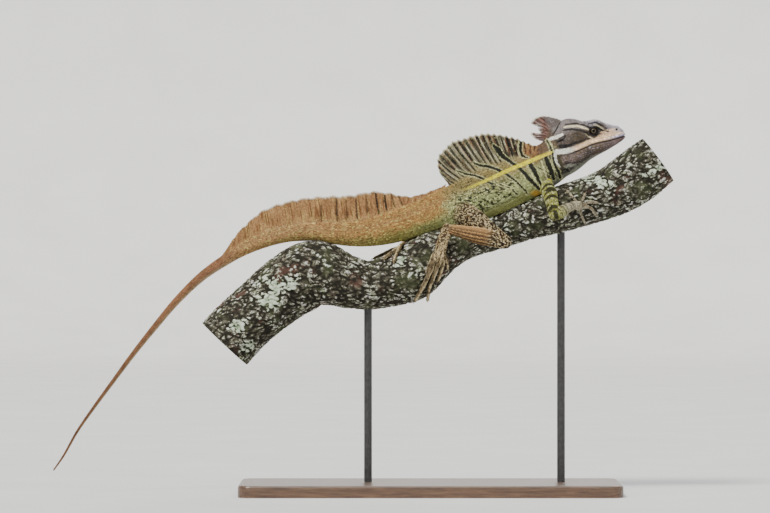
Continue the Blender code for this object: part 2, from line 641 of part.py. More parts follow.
def make_limb(names, rows, digits, radius, claw, cutters):
    """One leg or arm: its upper and lower lengths, and its foot or hand with toes and claws."""
    upper, lower, end = rows
    top = tube(names[0], upper, 12, LIMB_UP)
    boolean(top, cutters, "DIFFERENCE", keep=cutters)
    low = tube(names[1], lower, 12, LIMB_UP)
    joint = tube("joint", upper, 12, LIMB_UP, grow=GROW)
    boolean(low, [joint, *cutters], "DIFFERENCE", keep=cutters)
    foot = tube(names[2], end, 10, LIMB_UP)
    toes = [digit("digit", marks, Rail(end), radius * share, claw)
            for marks, share in zip(digits, TOE_SHARES)]
    boolean(foot, toes, "UNION")
    joint = tube("joint", lower, 12, LIMB_UP, grow=GROW)
    boolean(foot, [joint, *cutters], "DIFFERENCE", keep=cutters)
    for obj in (top, low, foot):
        paint(obj, "skin_limb")


def make_limbs(branch_cutter):
    trunk = loft("trunk_cutter", body_rings("neck", GROW) + body_rings("torso", GROW))
    rump = loft("rump_cutter", body_rings("tail_base", GROW))
    cutters = (branch_cutter, trunk, rump)
    ahead, above = LEFT_SHIFT
    left_fingers = [[(x + ahead, z + above, 1) for x, z, _ in marks] for marks in RIGHT_FINGERS]
    toes = {"right": RIGHT_TOES, "left": LEFT_TOES}
    fingers = {"right": RIGHT_FINGERS, "left": left_fingers}
    for side in ("right", "left"):
        names = [f"{side}_{part}" for part in ("thigh", "shin", "foot")]
        rows = (THIGH[side], SHIN[side], FOOT[side])
        make_limb(names, rows, toes[side], TOE_RADIUS, CLAW_LENGTH["foot"], cutters)
        names = [f"{side}_{part}" for part in ("upper_arm", "forearm", "hand")]
        rows = (UPPER_ARM[side], FOREARM[side], HAND[side])
        make_limb(names, rows, fingers[side], FINGER_RADIUS, CLAW_LENGTH["hand"], cutters)
    bpy.data.objects.remove(trunk)
    bpy.data.objects.remove(rump)


def make_stand(branch_cutter):
    bm = bmesh.new()
    bmesh.ops.create_cube(bm, size=1.0)
    bmesh.ops.scale(bm, vec=Vector(BASE_SIZE) * MM, verts=bm.verts)
    bmesh.ops.translate(bm, vec=(0, 0, BASE_SIZE[2] / 2 * MM), verts=bm.verts)
    upright = [e for e in bm.edges if abs(e.verts[0].co.z - e.verts[1].co.z) > MM]
    bmesh.ops.bevel(bm, geom=upright, offset=BASE_CORNER * MM, segments=5, affect="EDGES", profile=0.5)
    top = [e for e in bm.edges if all(v.co.z > (BASE_SIZE[2] - 0.01) * MM for v in e.verts)]
    bmesh.ops.bevel(bm, geom=top, offset=2 * MM, segments=2, affect="EDGES", profile=0.5)
    paint(new_object("stand_base", bm), "stand_wood")
    for name, x in ROD_PLACES.items():
        k = int(np.argmin(abs(BRANCH_X - x)))
        low, high = BASE_SIZE[2] + GAP, BRANCH_Z[k] - branch_radius(x, math.pi) + ROD_BITE
        rings = [[np.array((x + ROD_RADIUS * math.cos(a), ROD_RADIUS * math.sin(a), z))
                  for a in np.linspace(0, 2 * math.pi, 24, endpoint=False)] for z in (low, high)]
        rod = loft(name, rings)
        boolean(rod, [branch_cutter], "DIFFERENCE", keep=(branch_cutter,))
        paint(rod, "stand_metal")


def main():
    for obj in list(bpy.data.objects):
        bpy.data.objects.remove(obj)
    paint(branch_loft("perch_branch"), "bark")
    branch_cutter = branch_loft("branch_cutter", GROW)
    make_head()
    make_body(branch_cutter)
    make_fins()
    make_limbs(branch_cutter)
    make_stand(branch_cutter)
    bpy.data.objects.remove(branch_cutter)


main()
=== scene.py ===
import math

import bmesh
import bpy
import numpy as np
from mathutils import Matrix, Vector
from mathutils.bvhtree import BVHTree
from mathutils.kdtree import KDTree


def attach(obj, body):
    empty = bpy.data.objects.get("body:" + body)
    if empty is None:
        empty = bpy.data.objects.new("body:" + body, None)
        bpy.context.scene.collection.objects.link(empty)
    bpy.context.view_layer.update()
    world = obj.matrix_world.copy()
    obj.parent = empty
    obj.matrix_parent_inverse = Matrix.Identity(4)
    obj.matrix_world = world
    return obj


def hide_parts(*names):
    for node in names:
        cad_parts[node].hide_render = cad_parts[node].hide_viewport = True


# A male common basilisk on its branch. Sizes are in millimetres in the frame of the solids:
# +X is the way that the animal faces, +Y its left side and +Z up. Meshes are made in metres.

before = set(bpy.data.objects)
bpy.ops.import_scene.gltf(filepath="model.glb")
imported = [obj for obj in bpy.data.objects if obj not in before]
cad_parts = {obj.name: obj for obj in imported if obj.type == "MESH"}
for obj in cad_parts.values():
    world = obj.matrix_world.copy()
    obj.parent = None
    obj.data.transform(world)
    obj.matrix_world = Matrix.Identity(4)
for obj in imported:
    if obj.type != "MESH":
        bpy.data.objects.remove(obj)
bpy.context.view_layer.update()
mm = 0.001
dice = np.random.default_rng(7)

# One pixel of the photograph is one millimetre here, and its pixel "zero" lies at x = 0 and z = 0
photo = {"zero": (430.0, 494.0), "size": (770, 513)}


def fromPhoto(points):
    return [(x - photo["zero"][0], photo["zero"][1] - y) for x, y in points]


def mark(*rows):  # a line on the photograph: x, y and half width of each of its points
    return fromPhoto([row[:2] for row in rows]), [row[2] for row in rows]


def unit(v):
    return v / np.maximum(np.linalg.norm(v, axis=-1, keepdims=True), 1e-9)


def smooth(low, high, x):
    u = np.clip((x - low) / (high - low), 0, 1)
    return u * u * (3 - 2 * u)


def bump(x, middle, width):
    return np.exp(-(((x - middle) / width) ** 2))


def mixed(a, b, share):
    share = np.asarray(share)[..., None]
    return a * (1 - share) + b * share


def nearestOf(points, line):  # the number of the place in a line that is nearest to each point
    best = np.zeros(len(points), int)
    for start in range(0, len(points), 4000):
        part = points[start:start + 4000]
        best[start:start + 4000] = ((part[:, None] - line[None]) ** 2).sum(-1).argmin(1)
    return best


# Smooth lines and tubes

class Rail:
    def __init__(self, rows, place=3):  # rows of numbers, of which the first are a place
        self.rows = np.array(rows, float)
        steps = np.linalg.norm(np.diff(self.rows[:, :place], axis=0), axis=1)
        self.knots = np.concatenate([[0.0], np.cumsum(steps)])
        self.slopes = np.gradient(self.rows, self.knots, axis=0)
        self.length = self.knots[-1]

    def knot(self, row):
        return np.interp(row, np.arange(len(self.knots)), self.knots)

    def at(self, t):
        t = np.asarray(t, float)
        i = np.clip(np.searchsorted(self.knots, t) - 1, 0, len(self.knots) - 2)
        span = (self.knots[i + 1] - self.knots[i])[..., None]
        u = (t[..., None] - self.knots[i][..., None]) / span
        return ((1 + 2 * u) * (1 - u) ** 2 * self.rows[i] + u * (1 - u) ** 2 * span * self.slopes[i]
                + u * u * (3 - 2 * u) * self.rows[i + 1] + u * u * (u - 1) * span * self.slopes[i + 1])

    def tangent(self, t):
        t = np.asarray(t, float)
        step = self.length * 0.002
        low, high = np.clip(t - step, 0, self.length), np.clip(t + step, 0, self.length)
        return unit((self.at(high) - self.at(low))[..., :3])


class Tube:
    # A rail of x, y, z, half height and half width, whose back may be narrower than an oval's
    def __init__(self, rows, guide, pinch=None):
        self.rail, self.guide, self.pinch = Rail(rows), np.array(guide, float), pinch
        self.length = self.rail.length
        self.stops = np.linspace(0, self.length, 400)
        self.middles = self.rail.at(self.stops)[:, :3]

    def frame(self, t):
        along = self.rail.tangent(t)
        side = unit(np.cross(along, self.guide))
        return along, side, np.cross(side, along)

    def sizes(self, t):
        row = self.rail.at(t)
        return row[..., :3], row[..., 3], row[..., 4]

    def point(self, t, phi, grow=0.0):
        middle, tall, wide = self.sizes(t)
        along, side, up = self.frame(t)
        tall, wide = tall + grow, wide + grow
        if self.pinch is not None:
            wide = wide * (1 - self.pinch(t) * np.maximum(0, np.cos(phi)) ** 1.6)
        return middle + up * (tall * np.cos(phi))[..., None] + side * (wide * np.sin(phi))[..., None]

    def place(self, points):  # how far along the rail, the turn about it, and the share of its radius
        t = self.stops[nearestOf(points, self.middles)]
        middle, tall, wide = self.sizes(t)
        along, side, up = self.frame(t)
        away = points - middle
        a, b = (away * up).sum(-1), (away * side).sum(-1)
        over = np.abs((away * along).sum(-1)) / np.maximum(tall, 1)
        share = np.sqrt((a / tall) ** 2 + (b / wide) ** 2 + np.maximum(0, over - 0.2) ** 2)
        return t, np.arctan2(b / wide, a / tall), share


def loft(rings, capped=True):
    rings = np.asarray(rings)
    count, sides = rings.shape[:2]
    i, j = np.meshgrid(np.arange(count - 1), np.arange(sides), indexing="ij")
    k = (j + 1) % sides
    corners = [i * sides + j, i * sides + k, (i + 1) * sides + k, (i + 1) * sides + j]
    faces = np.stack(corners, -1).reshape(-1, 4).tolist()
    if capped:
        faces.append(list(range(sides))[::-1])
        faces.append([(count - 1) * sides + n for n in range(sides)])
    return rings.reshape(-1, 3), faces


def joinLofts(parts):
    points, faces, offset = [], [], 0
    for partPoints, partFaces in parts:
        points.append(partPoints)
        faces += [[v + offset for v in face] for face in partFaces]
        offset += len(partPoints)
    return np.concatenate(points), faces


def circle(sides):
    return np.linspace(0, 2 * np.pi, sides, endpoint=False)


def placed(name, data):
    obj = bpy.data.objects.new(name, data)
    bpy.context.scene.collection.objects.link(obj)
    return obj


def addMesh(name, points, faces):
    mesh = bpy.data.meshes.new(name)
    mesh.from_pydata((np.asarray(points) * mm).tolist(), [], faces)
    mesh.update()
    mesh.shade_smooth()
    return placed(name, mesh)


def addTriangles(name, points, triangles, colours, spread):  # with its paint and its OFBake map
    mesh = bpy.data.meshes.new(name)
    count = len(triangles)
    mesh.vertices.add(len(points))
    mesh.vertices.foreach_set("co", (points * mm).astype(np.float32).ravel())
    mesh.loops.add(count * 3)
    mesh.loops.foreach_set("vertex_index", triangles.astype(np.int32).ravel())
    mesh.polygons.add(count)
    mesh.polygons.foreach_set("loop_start", np.arange(count, dtype=np.int32) * 3)
    mesh.update(calc_edges=True)
    mesh.shade_smooth()
    addColour(mesh, "paint", colours)
    layer = mesh.uv_layers.new(name="OFBake")
    layer.uv.foreach_set("vector", spread[triangles.ravel()].astype(np.float32).ravel())
    return placed(name, mesh)


def readVectors(mesh, key):
    values = np.empty(len(mesh.vertices) * 3, np.float32)
    mesh.vertices.foreach_get(key, values)
    return values.reshape(-1, 3).astype(float)


def readPoints(mesh):
    return readVectors(mesh, "co") / mm


def readNormals(mesh):
    return readVectors(mesh, "normal")


def writePoints(mesh, points):
    mesh.vertices.foreach_set("co", (points * mm).astype(np.float32).ravel())
    mesh.update()


def addColour(mesh, name, values):
    layer = mesh.attributes.new(name, "FLOAT_COLOR", "POINT")
    full = np.ones((len(values), 4), np.float32)
    full[:, :values.shape[1]] = values
    layer.data.foreach_set("color", full.ravel())


def addNumber(mesh, name, values):
    layer = mesh.attributes.new(name, "FLOAT", "POINT")
    layer.data.foreach_set("value", np.asarray(values, np.float32))


def applied(obj):
    bpy.context.view_layer.update()
    graph = bpy.context.evaluated_depsgraph_get()
    mesh = bpy.data.meshes.new_from_object(obj.evaluated_get(graph))
    obj.modifiers.clear()
    obj.data = mesh
    return obj


# Noise on points, between 0 and 1

slopes = unit(np.array([(x, y, z) for x in (-1, 0, 1) for y in (-1, 0, 1) for z in (-1, 0, 1)
                        if abs(x) + abs(y) + abs(z) == 2] + [(1, 1, 0), (-1, 1, 0), (0, -1, 1), (0, -1, -1)], float))


def hashed(cells, seed):  # a number from 0 to 15 for each cell
    mix = cells[..., 0] * 73856093 ^ cells[..., 1] * 19349663 ^ cells[..., 2] * 83492791 ^ seed * 2654435
    mix = (mix ^ (mix >> 13)) * 1274126177
    return (mix ^ (mix >> 16)) & 15


def noise(points, size, seed=1):
    place = np.asarray(points) / size + 1000  # so that no cell's number is below zero
    cell = np.floor(place).astype(np.int64)
    u = place - cell
    ease = u * u * u * (u * (u * 6 - 15) + 10)
    total = 0
    for corner in [np.array((dx, dy, dz)) for dx in (0, 1) for dy in (0, 1) for dz in (0, 1)]:
        weight = np.where(corner, ease, 1 - ease).prod(-1)
        total = total + weight * (slopes[hashed(cell + corner, seed)] * (u - corner)).sum(-1)
    return np.clip(0.5 + 0.72 * total, 0, 1)


def cloudy(points, size, seed=1):
    return (noise(points, size, seed) * 0.55 + noise(points, size / 2.1, seed + 5) * 0.3
            + noise(points, size / 4.3, seed + 9) * 0.15)


def lineGap(x, z, line):  # the distance to a broken line, and the share of it that the foot is at
    best, share = np.full(x.shape, 1e9), np.zeros(x.shape)
    parts = len(line) - 1
    for k, ((ax, az), (bx, bz)) in enumerate(zip(line, line[1:])):
        dx, dz = bx - ax, bz - az
        u = np.clip(((x - ax) * dx + (z - az) * dz) / (dx * dx + dz * dz), 0, 1)
        gap = np.hypot(x - ax - u * dx, z - az - u * dz)
        near = gap < best
        best = np.where(near, gap, best)
        share = np.where(near, (k + u) / parts, share)
    return best, share


# The body: x, y, z, half height and half width, from the head's back plane to the tail's tip

body = {
    "rows": (
        (124, 0, 334, 21.0, 14.5), (115, 0, 326, 19.8, 15.2), (100, 0, 316.5, 21, 18), (82, 0, 308, 22.5, 20.5),
        (63, 0, 300, 24, 21.5), (45, 0, 293.5, 23.5, 20), (28, 0, 289, 21.5, 16.5), (10, 0, 284, 18.5, 13.5),
        (-10, 0, 276.5, 16.8, 12), (-30, 0, 269, 15.8, 11), (-47, 0, 264, 14.5, 10.2), (-64, 0, 260.7, 12.8, 9.3),
        (-89, 0, 260, 10.8, 8.2), (-115, 0, 262, 8.8, 7), (-141, 0, 260, 7.5, 6.2), (-168, 0, 252.5, 6.6, 5.6),
        (-190, 1, 243, 5.9, 5.1), (-208, 2, 232, 5.1, 4.6), (-226, 4, 219.5, 4.4, 4.1), (-251, 7, 196, 3.6, 3.5),
        (-277, 10, 165.4, 2.9, 2.9), (-298, 12, 139, 2.35, 2.35), (-318, 13, 112, 1.9, 1.9),
        (-338.5, 13, 84, 1.5, 1.5), (-353, 12, 63, 1.2, 1.2), (-369, 11, 35, 0.85, 0.85), (-377.4, 10, 23, 0.5, 0.5),
    ),
    "pinch": 0.5,
    "sides": 72,
    "step": 1.6,
    "thinTail": 1.5,  # the thinnest half width that the remesh keeps; the tail is drawn thin again after it
}


def backPinch(t):
    rail = bodyRail
    return body["pinch"] * np.interp(t, [0, rail.knot(16), rail.knot(20)], [1, 0.8, 0])


bodyRail = Rail(body["rows"])
bodyTube = Tube(body["rows"], (0, 0, 1), backPinch)


# The head, in its own frame: along it from the back plane, up from its middle, out to its side

head = {
    "origin": (126.0, 341.0),
    "pitch": math.radians(18),
    "stations": (4, 12, 20, 28, 35, 42, 48, 55, 62, 68, 71),
    "crownUp": (23, 28.3, 29.6, 27, 22, 20.7, 20, 14.2, 9.2, 5.5, 2),
    "browOut": (6, 6, 5.6, 6.2, 8, 9.6, 9, 6.4, 4.8, 3.2, 1.6),
    "browUp": (17, 21, 22.5, 21, 18.4, 18.5, 16.6, 11.6, 7.6, 4.4, 1),
    "cheekOut": (14.6, 15, 14.6, 13.4, 11.8, 9.8, 9, 7.8, 6.3, 4.3, 2.1),
    "cheekUp": (6, 7, 8, 8.5, 8.3, 7.8, 7, 5, 2.8, 0.6, -1.2),
    "lipOut": (16, 16.6, 16, 14.6, 13, 11.6, 10.4, 8.8, 7.1, 4.8, 2.4),
    "lipUp": (-4.5, -4.8, -4.8, -3.9, -3.1, -3.1, -3.8, -4.7, -4.9, -5, -4.4),
    "jawOut": (13.2, 14, 13, 11, 9.4, 8.2, 7.2, 6, 4.6, 2.9, 1.3),
    "jawUp": (-18, -17.5, -15.5, -12.2, -11, -10.8, -10.6, -10, -9, -7.6, -5.8),
    "chinUp": (-25.5, -23.8, -21.4, -18, -15.8, -14.5, -13.4, -11.9, -10, -7.9, -6.1),
    "sides": 120,
    "step": 1.0,
    "mouthCorner": 14.5,
    "eye": (42, 9.3),
    "eyeOut": 6.3,
    "eyeRadius": 5.0,
    "lids": (4.0, 3.0),  # half the opening's length and height
    "ear": (8.0, 7.0),
    "nostril": (64.6, 3.6),
}
headRail = Rail(list(zip(*[head[k] for k in ("stations", "crownUp", "browOut", "browUp", "cheekOut", "cheekUp",
                                             "lipOut", "lipUp", "jawOut", "jawUp", "chinUp")])), place=1)


def headPoint(along, up, out):
    c, s = math.cos(head["pitch"]), math.sin(head["pitch"])
    along, up, out = np.broadcast_arrays(along, up, out)
    return np.stack([head["origin"][0] + along * c - up * s, out, head["origin"][1] + along * s + up * c], -1)


def headPlace(points):  # along, up and out of points given as x, y, z
    c, s = math.cos(head["pitch"]), math.sin(head["pitch"])
    dx, dz = points[:, 0] - head["origin"][0], points[:, 2] - head["origin"][1]
    return dx * c + dz * s, -dx * s + dz * c, points[:, 1]


def lipLine(along):
    return np.interp(along, head["stations"], head["lipUp"])


def headGap(along, up, feature, wide=1.0, tall=1.0):  # the distance from a feature's middle, or an oval's share
    return np.hypot((along - head[feature][0]) / wide, (up - head[feature][1]) / tall)


def headRing(along, sides, shrink=1.0):
    v = headRail.at(along - head["stations"][0])
    left = [(0.0, v[1]), (v[2], v[3]), (v[4], v[5]), (v[6], v[7]), (v[8], v[9]), (0.0, v[10])]
    marks = np.array(left + [(-y, u) for y, u in left[-2:0:-1]])
    middle = marks.mean(0)
    place = np.arange(sides) * len(marks) / sides
    i = place.astype(int)
    u = (place - i)[:, None]
    p = [marks[(i + j) % len(marks)] for j in (-1, 0, 1, 2)]
    ring = ((1 + 2 * u) * (1 - u) ** 2 * p[1] + u * (1 - u) ** 2 * (p[2] - p[0]) / 2
            + u * u * (3 - 2 * u) * p[2] + u * u * (u - 1) * (p[3] - p[1]) / 2)
    ring = middle + (ring - middle) * shrink
    return headPoint(along, ring[:, 1], ring[:, 0])


# Limbs: x, y, z, half the thickness upwards and sideways

limbs = {
    "up": (0.0, 0.12, 1.0),
    "rightThigh": ((26, -5, 285, 12.5, 8), (37, -19, 278, 11.8, 9.5), (51, -31, 268, 10.2, 9),
                   (63, -38, 259, 8, 7.4), (74, -42, 251.5, 6.2, 6)),
    "leftThigh": ((26, 5, 285, 12.5, 8), (31, 21, 277, 11.8, 9.5), (36, 36, 267, 10.2, 9),
                  (41, 48, 259, 8, 7.4), (45, 58, 251.5, 6.2, 6)),
    "rightShin": ((73, -43, 251.5, 6, 5.6), (60, -43.5, 255.5, 7.8, 6.8), (45, -42, 258.5, 8, 7),
                  (30, -38.5, 262, 6, 5.4), (18, -35, 265, 4.2, 3.8)),
    "leftShin": ((44.5, 58.5, 251.5, 6, 5.6), (34, 53, 254.5, 7.8, 6.8), (21, 44, 258, 8, 7),
                 (9, 35, 261, 6, 5.4), (-2, 26.5, 263.5, 4.2, 3.8)),
    "rightFoot": ((17, -34.5, 266, 5, 3.6), (13.5, -33, 256, 6.6, 3.6), (10.5, -30.5, 246, 7.6, 3.2),
                  (8.5, -29, 236.5, 7.2, 2.6)),
    "leftFoot": ((-1.5, 26, 264.5, 3.6, 5), (-9, 20, 259.5, 3.4, 6.2), (-17, 15, 255.5, 3, 6.8),
                 (-24.5, 10, 252, 2.5, 6.4)),
    "rightUpperArm": ((115, -8, 308, 8.6, 6.5), (118, -18, 302, 8, 7), (121, -29, 291, 6.8, 6.2),
                      (122.5, -38, 279, 5.4, 5)),
    "leftUpperArm": ((115, 8, 308, 8.6, 6.5), (118, 18, 303, 8, 7), (122, 29, 293, 6.6, 6.2),
                     (124, 38, 282, 5.2, 5)),
    "rightForearm": ((122.5, -38.5, 278, 5.2, 4.6), (129, -36, 281.5, 6, 5), (136, -32.5, 285.5, 4.6, 4),
                     (143, -29.5, 288.5, 3.4, 3.1)),
    "leftForearm": ((124, 38.5, 281, 5, 4.6), (131, 36, 284.5, 5.8, 5), (139, 32.5, 288.5, 4.4, 4),
                    (147, 29.5, 291.5, 3.4, 3.1)),
    "rightHand": ((143, -29.3, 288.6, 4, 2.6), (148.5, -28.6, 287.8, 5, 2.6)),
    "leftHand": ((147, 29.3, 291.6, 4, 2.6), (152.5, 28.8, 290.8, 5, 2.6)),
}
limbNames = ("Thigh", "Shin", "Foot", "UpperArm", "Forearm", "Hand")
tubes = {side + name: Tube(limbs[side + name], limbs["up"]) for side in ("right", "left") for name in limbNames}

# Toes and fingers, each by marks on the bark: x, z and the side of the branch, which is -1 on the right

digits = {
    "rightFoot": (
        ((14, 240, -1), (17, 232, -1), (17.5, 225, -1)),
        ((13, 236, -1), (11.5, 225, -1), (7.5, 213.5, -1)),
        ((9.5, 235, -1), (5, 222, -1), (0, 209, -1), (-2.5, 194, -1)),
        ((6, 236, -1), (0, 223, -1), (-6.5, 209, -1), (-15, 193.5, -1)),
        ((5, 241, -1), (0.5, 232.5, -1), (-3.5, 223, -1)),
    ),
    "leftFoot": (
        ((-20, 253.5, 1), (-24, 249.5, 1), (-25, 242, 1)),
        ((-23, 252.5, 1), (-30, 247.5, -1), (-33.5, 240, -1), (-36, 232.5, -1)),
        ((-25, 251, 1), (-36, 243, -1), (-46, 236, -1)),
        ((-26, 249, 1), (-40, 243, 1), (-55, 236, 1)),
        ((-21, 249, 1), (-31, 241, 1), (-39, 231, 1)),
    ),
    "rightHand": (
        ((147, 289.5, -1), (141.5, 296.5, -1), (136, 303, -1)),
        ((149.5, 290, -1), (152, 295, -1), (154, 299.5, -1)),
        ((151, 288.5, -1), (158, 291.5, -1), (165, 291, -1)),
        ((151, 286.5, -1), (158, 286.5, -1), (164.5, 279.5, -1)),
        ((148.5, 285, -1), (150.5, 278.5, -1), (154, 271.5, -1)),
    ),
    "leftShift": (4.0, 3.0),  # how far the left hand lies ahead of the right one, and above it
    "radius": {"Foot": 2.2, "Hand": 1.7},
    "shares": (0.86, 0.94, 1.0, 1.06, 0.9),  # of that radius, from the first toe to the fifth
    "lift": 0.55,  # off the bark
    "hang": 7.0,  # the least way out from the branch's middle, below it
    "taper": 0.34,
    "joints": 0.06,  # how far they swell
    "claw": {"Foot": 5.0, "Hand": 4.0},
}
ahead, above = digits["leftShift"]
digits["leftHand"] = [[(x + ahead, z + above, 1) for x, z, _ in marks] for marks in digits["rightHand"]]

# The branch: x, z and radius of its middle line, with a knot on its top

branch = {
    "rows": (
        (-205, 150, 30), (-190, 166, 30.5), (-168, 186, 31), (-141, 207, 31), (-112, 217, 29.5), (-80, 211, 25.5),
        (-62, 208.5, 24), (-43, 212.5, 26), (-20, 221.5, 28.5), (2, 236.5, 24.5), (30, 251, 19.5), (60, 261, 18),
        (90, 271, 19), (120, 281, 22), (150, 290.5, 23.5), (180, 302, 25.5), (207, 318.5, 27), (228, 334, 26.5),
    ),
    "knot": (-116.0, 8.0, 24.0, 0.95),  # where, how high, how long and how far round
    "proud": 0.28,  # the bark's highest ridges over the solid
    "relief": (0.86, 2.2),  # the share of its ridges that lies in the solid's face, and its depth
    "cutRadius": 27.0,
}
branchRail = Rail([(x, 0.0, z, r) for x, z, r in branch["rows"]])
branchStops = np.linspace(0, branchRail.length, 400)
branchLine = branchRail.at(branchStops)


def branchRadius(x, phi):
    r = np.interp(x, branchLine[:, 0], branchLine[:, 3])
    lumps = 0.022 * np.sin(3 * phi + x / 17) + 0.02 * np.sin(2 * phi - x / 11 + 1.3)
    where, high, long, wide = branch["knot"]
    return r * (1 + lumps) + high * np.exp(-(((x - where) / long) ** 2) - (phi / wide) ** 2)


def branchFrame(t):
    row, along = branchRail.at(t), branchRail.tangent(t)
    up = np.stack([-along[..., 2], 0 * along[..., 0], along[..., 0]], -1)
    return row[..., :3], up


def onBark(x, z, side, lift):
    k = int(np.argmin((branchLine[:, 0] - x) ** 2 + (branchLine[:, 2] - z) ** 2))
    middle, up = branchFrame(branchStops[k])
    high = float(np.dot(np.array((x, 0, z)) - middle, up))
    phi = math.acos(max(-1.0, min(1.0, high / branchLine[k, 3]))) * (-side)
    reach = float(branchRadius(middle[0], phi)) + lift
    depth = math.sqrt(max(0.0, reach ** 2 - high ** 2))
    if high < 0:
        depth = max(depth, digits["hang"])
    return np.array((x, side * depth, z))


# The paint: every marking, and every patch of painted shade or highlight, is a function of the place, and skin and
# scales use the same one

def srgb(red, green, blue):
    # A little more saturated than given, because soft studio light pales every colour
    values = np.array((red, green, blue)) / 255.0
    linear = np.where(values <= 0.04045, values / 12.92, ((values + 0.055) / 1.055) ** 2.4)
    grey = linear @ np.array((0.3, 0.55, 0.15))
    return np.clip(grey + (linear - grey) * 1.1, 0.002, 1.0)


hues = {
    "olive": (146, 150, 98), "khaki": (146, 132, 88), "green": (164, 172, 120), "belly": (140, 142, 90),
    "rust": (128, 74, 44), "orange": (170, 132, 84), "tan": (174, 138, 98), "tailGreen": (148, 144, 88),
    "whip": (158, 118, 88), "whipDark": (104, 72, 52), "black": (12, 11, 11), "yellow": (236, 226, 92),
    "amber": (204, 164, 78), "cream": (240, 228, 190), "white": (242, 241, 228), "grey": (138, 130, 126),
    "headBrown": (84, 71, 60), "headDark": (50, 42, 36), "snout": (186, 180, 188), "pink": (188, 146, 118),
    "lip": (244, 212, 176), "throat": (146, 146, 134), "jowl": (112, 96, 84), "crest": (140, 104, 90),
    "crestDark": (78, 52, 44), "crestGrey": (128, 122, 118), "limbDark": (60, 46, 33), "limbCream": (218, 202, 162),
    "shin": (180, 144, 100), "shinPale": (212, 178, 128), "arm": (152, 152, 84), "finger": (192, 184, 160),
    "web": (140, 134, 106), "webPale": (190, 186, 160), "webRust": (136, 92, 62), "sailTail": (156, 120, 84),
    "sailTailDark": (104, 68, 40), "rim": (206, 200, 184), "spot": (222, 224, 172), "temple": (74, 64, 46),
    "nape": (146, 106, 74),
}
hues = {name: srgb(*value) for name, value in hues.items()}


def lit(hue, light):  # a colour or its name, made lighter or darker
    return (hues[hue] if isinstance(hue, str) else hue) * np.asarray(light)[..., None]


def painted(colour, *layers):  # each layer is a colour or its name, and how much of it there is
    for hue, share in layers:
        colour = mixed(colour, hues[hue] if isinstance(hue, str) else hue, share)
    return colour


def streaks(u, v, seed):  # noise in long streaks over a fin
    return noise(np.stack([u, v, 0 * v], -1), 1.0, seed)


stripes = {
    "yellow": mark((550, 153, 1.3), (540, 157, 1.7), (529.5, 161.5, 2.0), (509, 170, 1.9), (492, 178, 1.6),
                   (471.5, 187, 1.2), (457, 192, 0.7)),
    "black": (
        mark((457, 171, 0.8), (466, 174, 1.1), (476, 176, 1.2), (483, 179, 1.1), (491, 184, 1.2), (495, 184.5, 0.8)),
        mark((500, 185, 0.9), (503, 186, 0.9)),
        mark((506, 187, 1.0), (509, 188.5, 0.9)),
        mark((512, 190, 0.9), (517, 195, 0.8)),
        mark((474, 163, 0.8), (480, 165.6, 1.5), (488, 166.5, 1.5), (496, 169, 1.5), (501, 171.4, 1.7),
             (509, 176.4, 1.3), (517, 183, 1.2), (524, 190, 1.1), (527, 194, 0.8)),
        mark((494, 146, 1.6), (498, 150, 3.0), (502, 156, 2.6), (508, 160, 1.8), (515.4, 165.6, 1.8),
             (519.6, 169, 1.9), (524.5, 174, 2.1), (529.5, 180, 2.1), (534.5, 185, 2.0), (540, 189, 1.8),
             (546, 194, 1.2)),
        mark((521, 139, 1.6), (520.4, 150, 1.9), (522, 156, 1.4), (528, 158, 0.7)),
        mark((530, 165, 2.3), (533.5, 171, 2.6), (537, 178, 2.1), (541, 186, 1.2)),
        mark((545.5, 158, 2.0), (548, 165, 2.8), (551, 172, 2.6), (553.5, 179, 1.5)),
        mark((521.5, 169, 0.7), (525, 175, 0.7)),
        mark((546.9, 140.6, 1.0), (549.8, 146.4, 1.2), (551.9, 153, 1.2), (553, 160, 1.2), (555, 166.5, 1.4),
             (558, 172, 1.7), (560, 178, 1.5)),
        mark((537.4, 168, 0.6), (543, 170.5, 0.8), (550, 174.6, 0.8)),
    ),
    "pale": (
        mark((546.5, 138, 0.5), (549.5, 142, 0.6), (552, 147, 0.6), (553, 151, 0.5)),
        mark((550, 160, 0.4), (551.5, 165, 0.5), (554, 171, 0.4)),
        mark((527, 166, 0.8), (531, 174, 0.8), (536, 183, 0.8), (541, 188, 0.8)),
        mark((541, 161, 0.7), (543.5, 170, 0.8), (547, 180, 0.8)),
    ),
}


def stripeMask(x, z, stripe, soft=0.45):
    line, widths = stripe
    gap, share = lineGap(x, z, line)
    width = np.interp(share * (len(widths) - 1), np.arange(len(widths)), widths)
    return smooth(width + soft, width - soft, gap)


def paintTail(points, high, fine, grit, patch):
    x = points[:, 0]
    belly = high + (patch - 0.5) * 0.7 + (grit - 0.5) * 0.5
    low = 0.35 * smooth(-200, -120, x) + 0.65 * smooth(-110, -20, x)
    colour = painted(
        hues["orange"],
        ("tan", smooth(-40, -150, x)),
        (painted(hues["tailGreen"], ("green", smooth(-30, 10, x) * 0.6)), smooth(-0.05, -0.65, belly) * low),
        (hues["spot"] * np.array((1.0, 0.92, 0.55)), smooth(0.56, 0.7, fine) * 0.5),
        ("sailTailDark", smooth(0.45, 0.28, grit) * 0.6))
    return lit(colour, 0.72 + 0.56 * noise(points, 1.25, 13))


def paintWhip(x, t, high, grit):
    ring = smooth(0.45, 0.62, noise(np.stack([t, 0 * t, 0 * t], -1), 9, 31))
    return painted(
        hues["whip"],
        ("whipDark", smooth(-240, -370, x) * 0.7),
        ("whipDark", ring * 0.35 + smooth(0.5, 0.3, grit) * 0.3),
        ("cream", smooth(-0.3, -0.9, high) * 0.3))


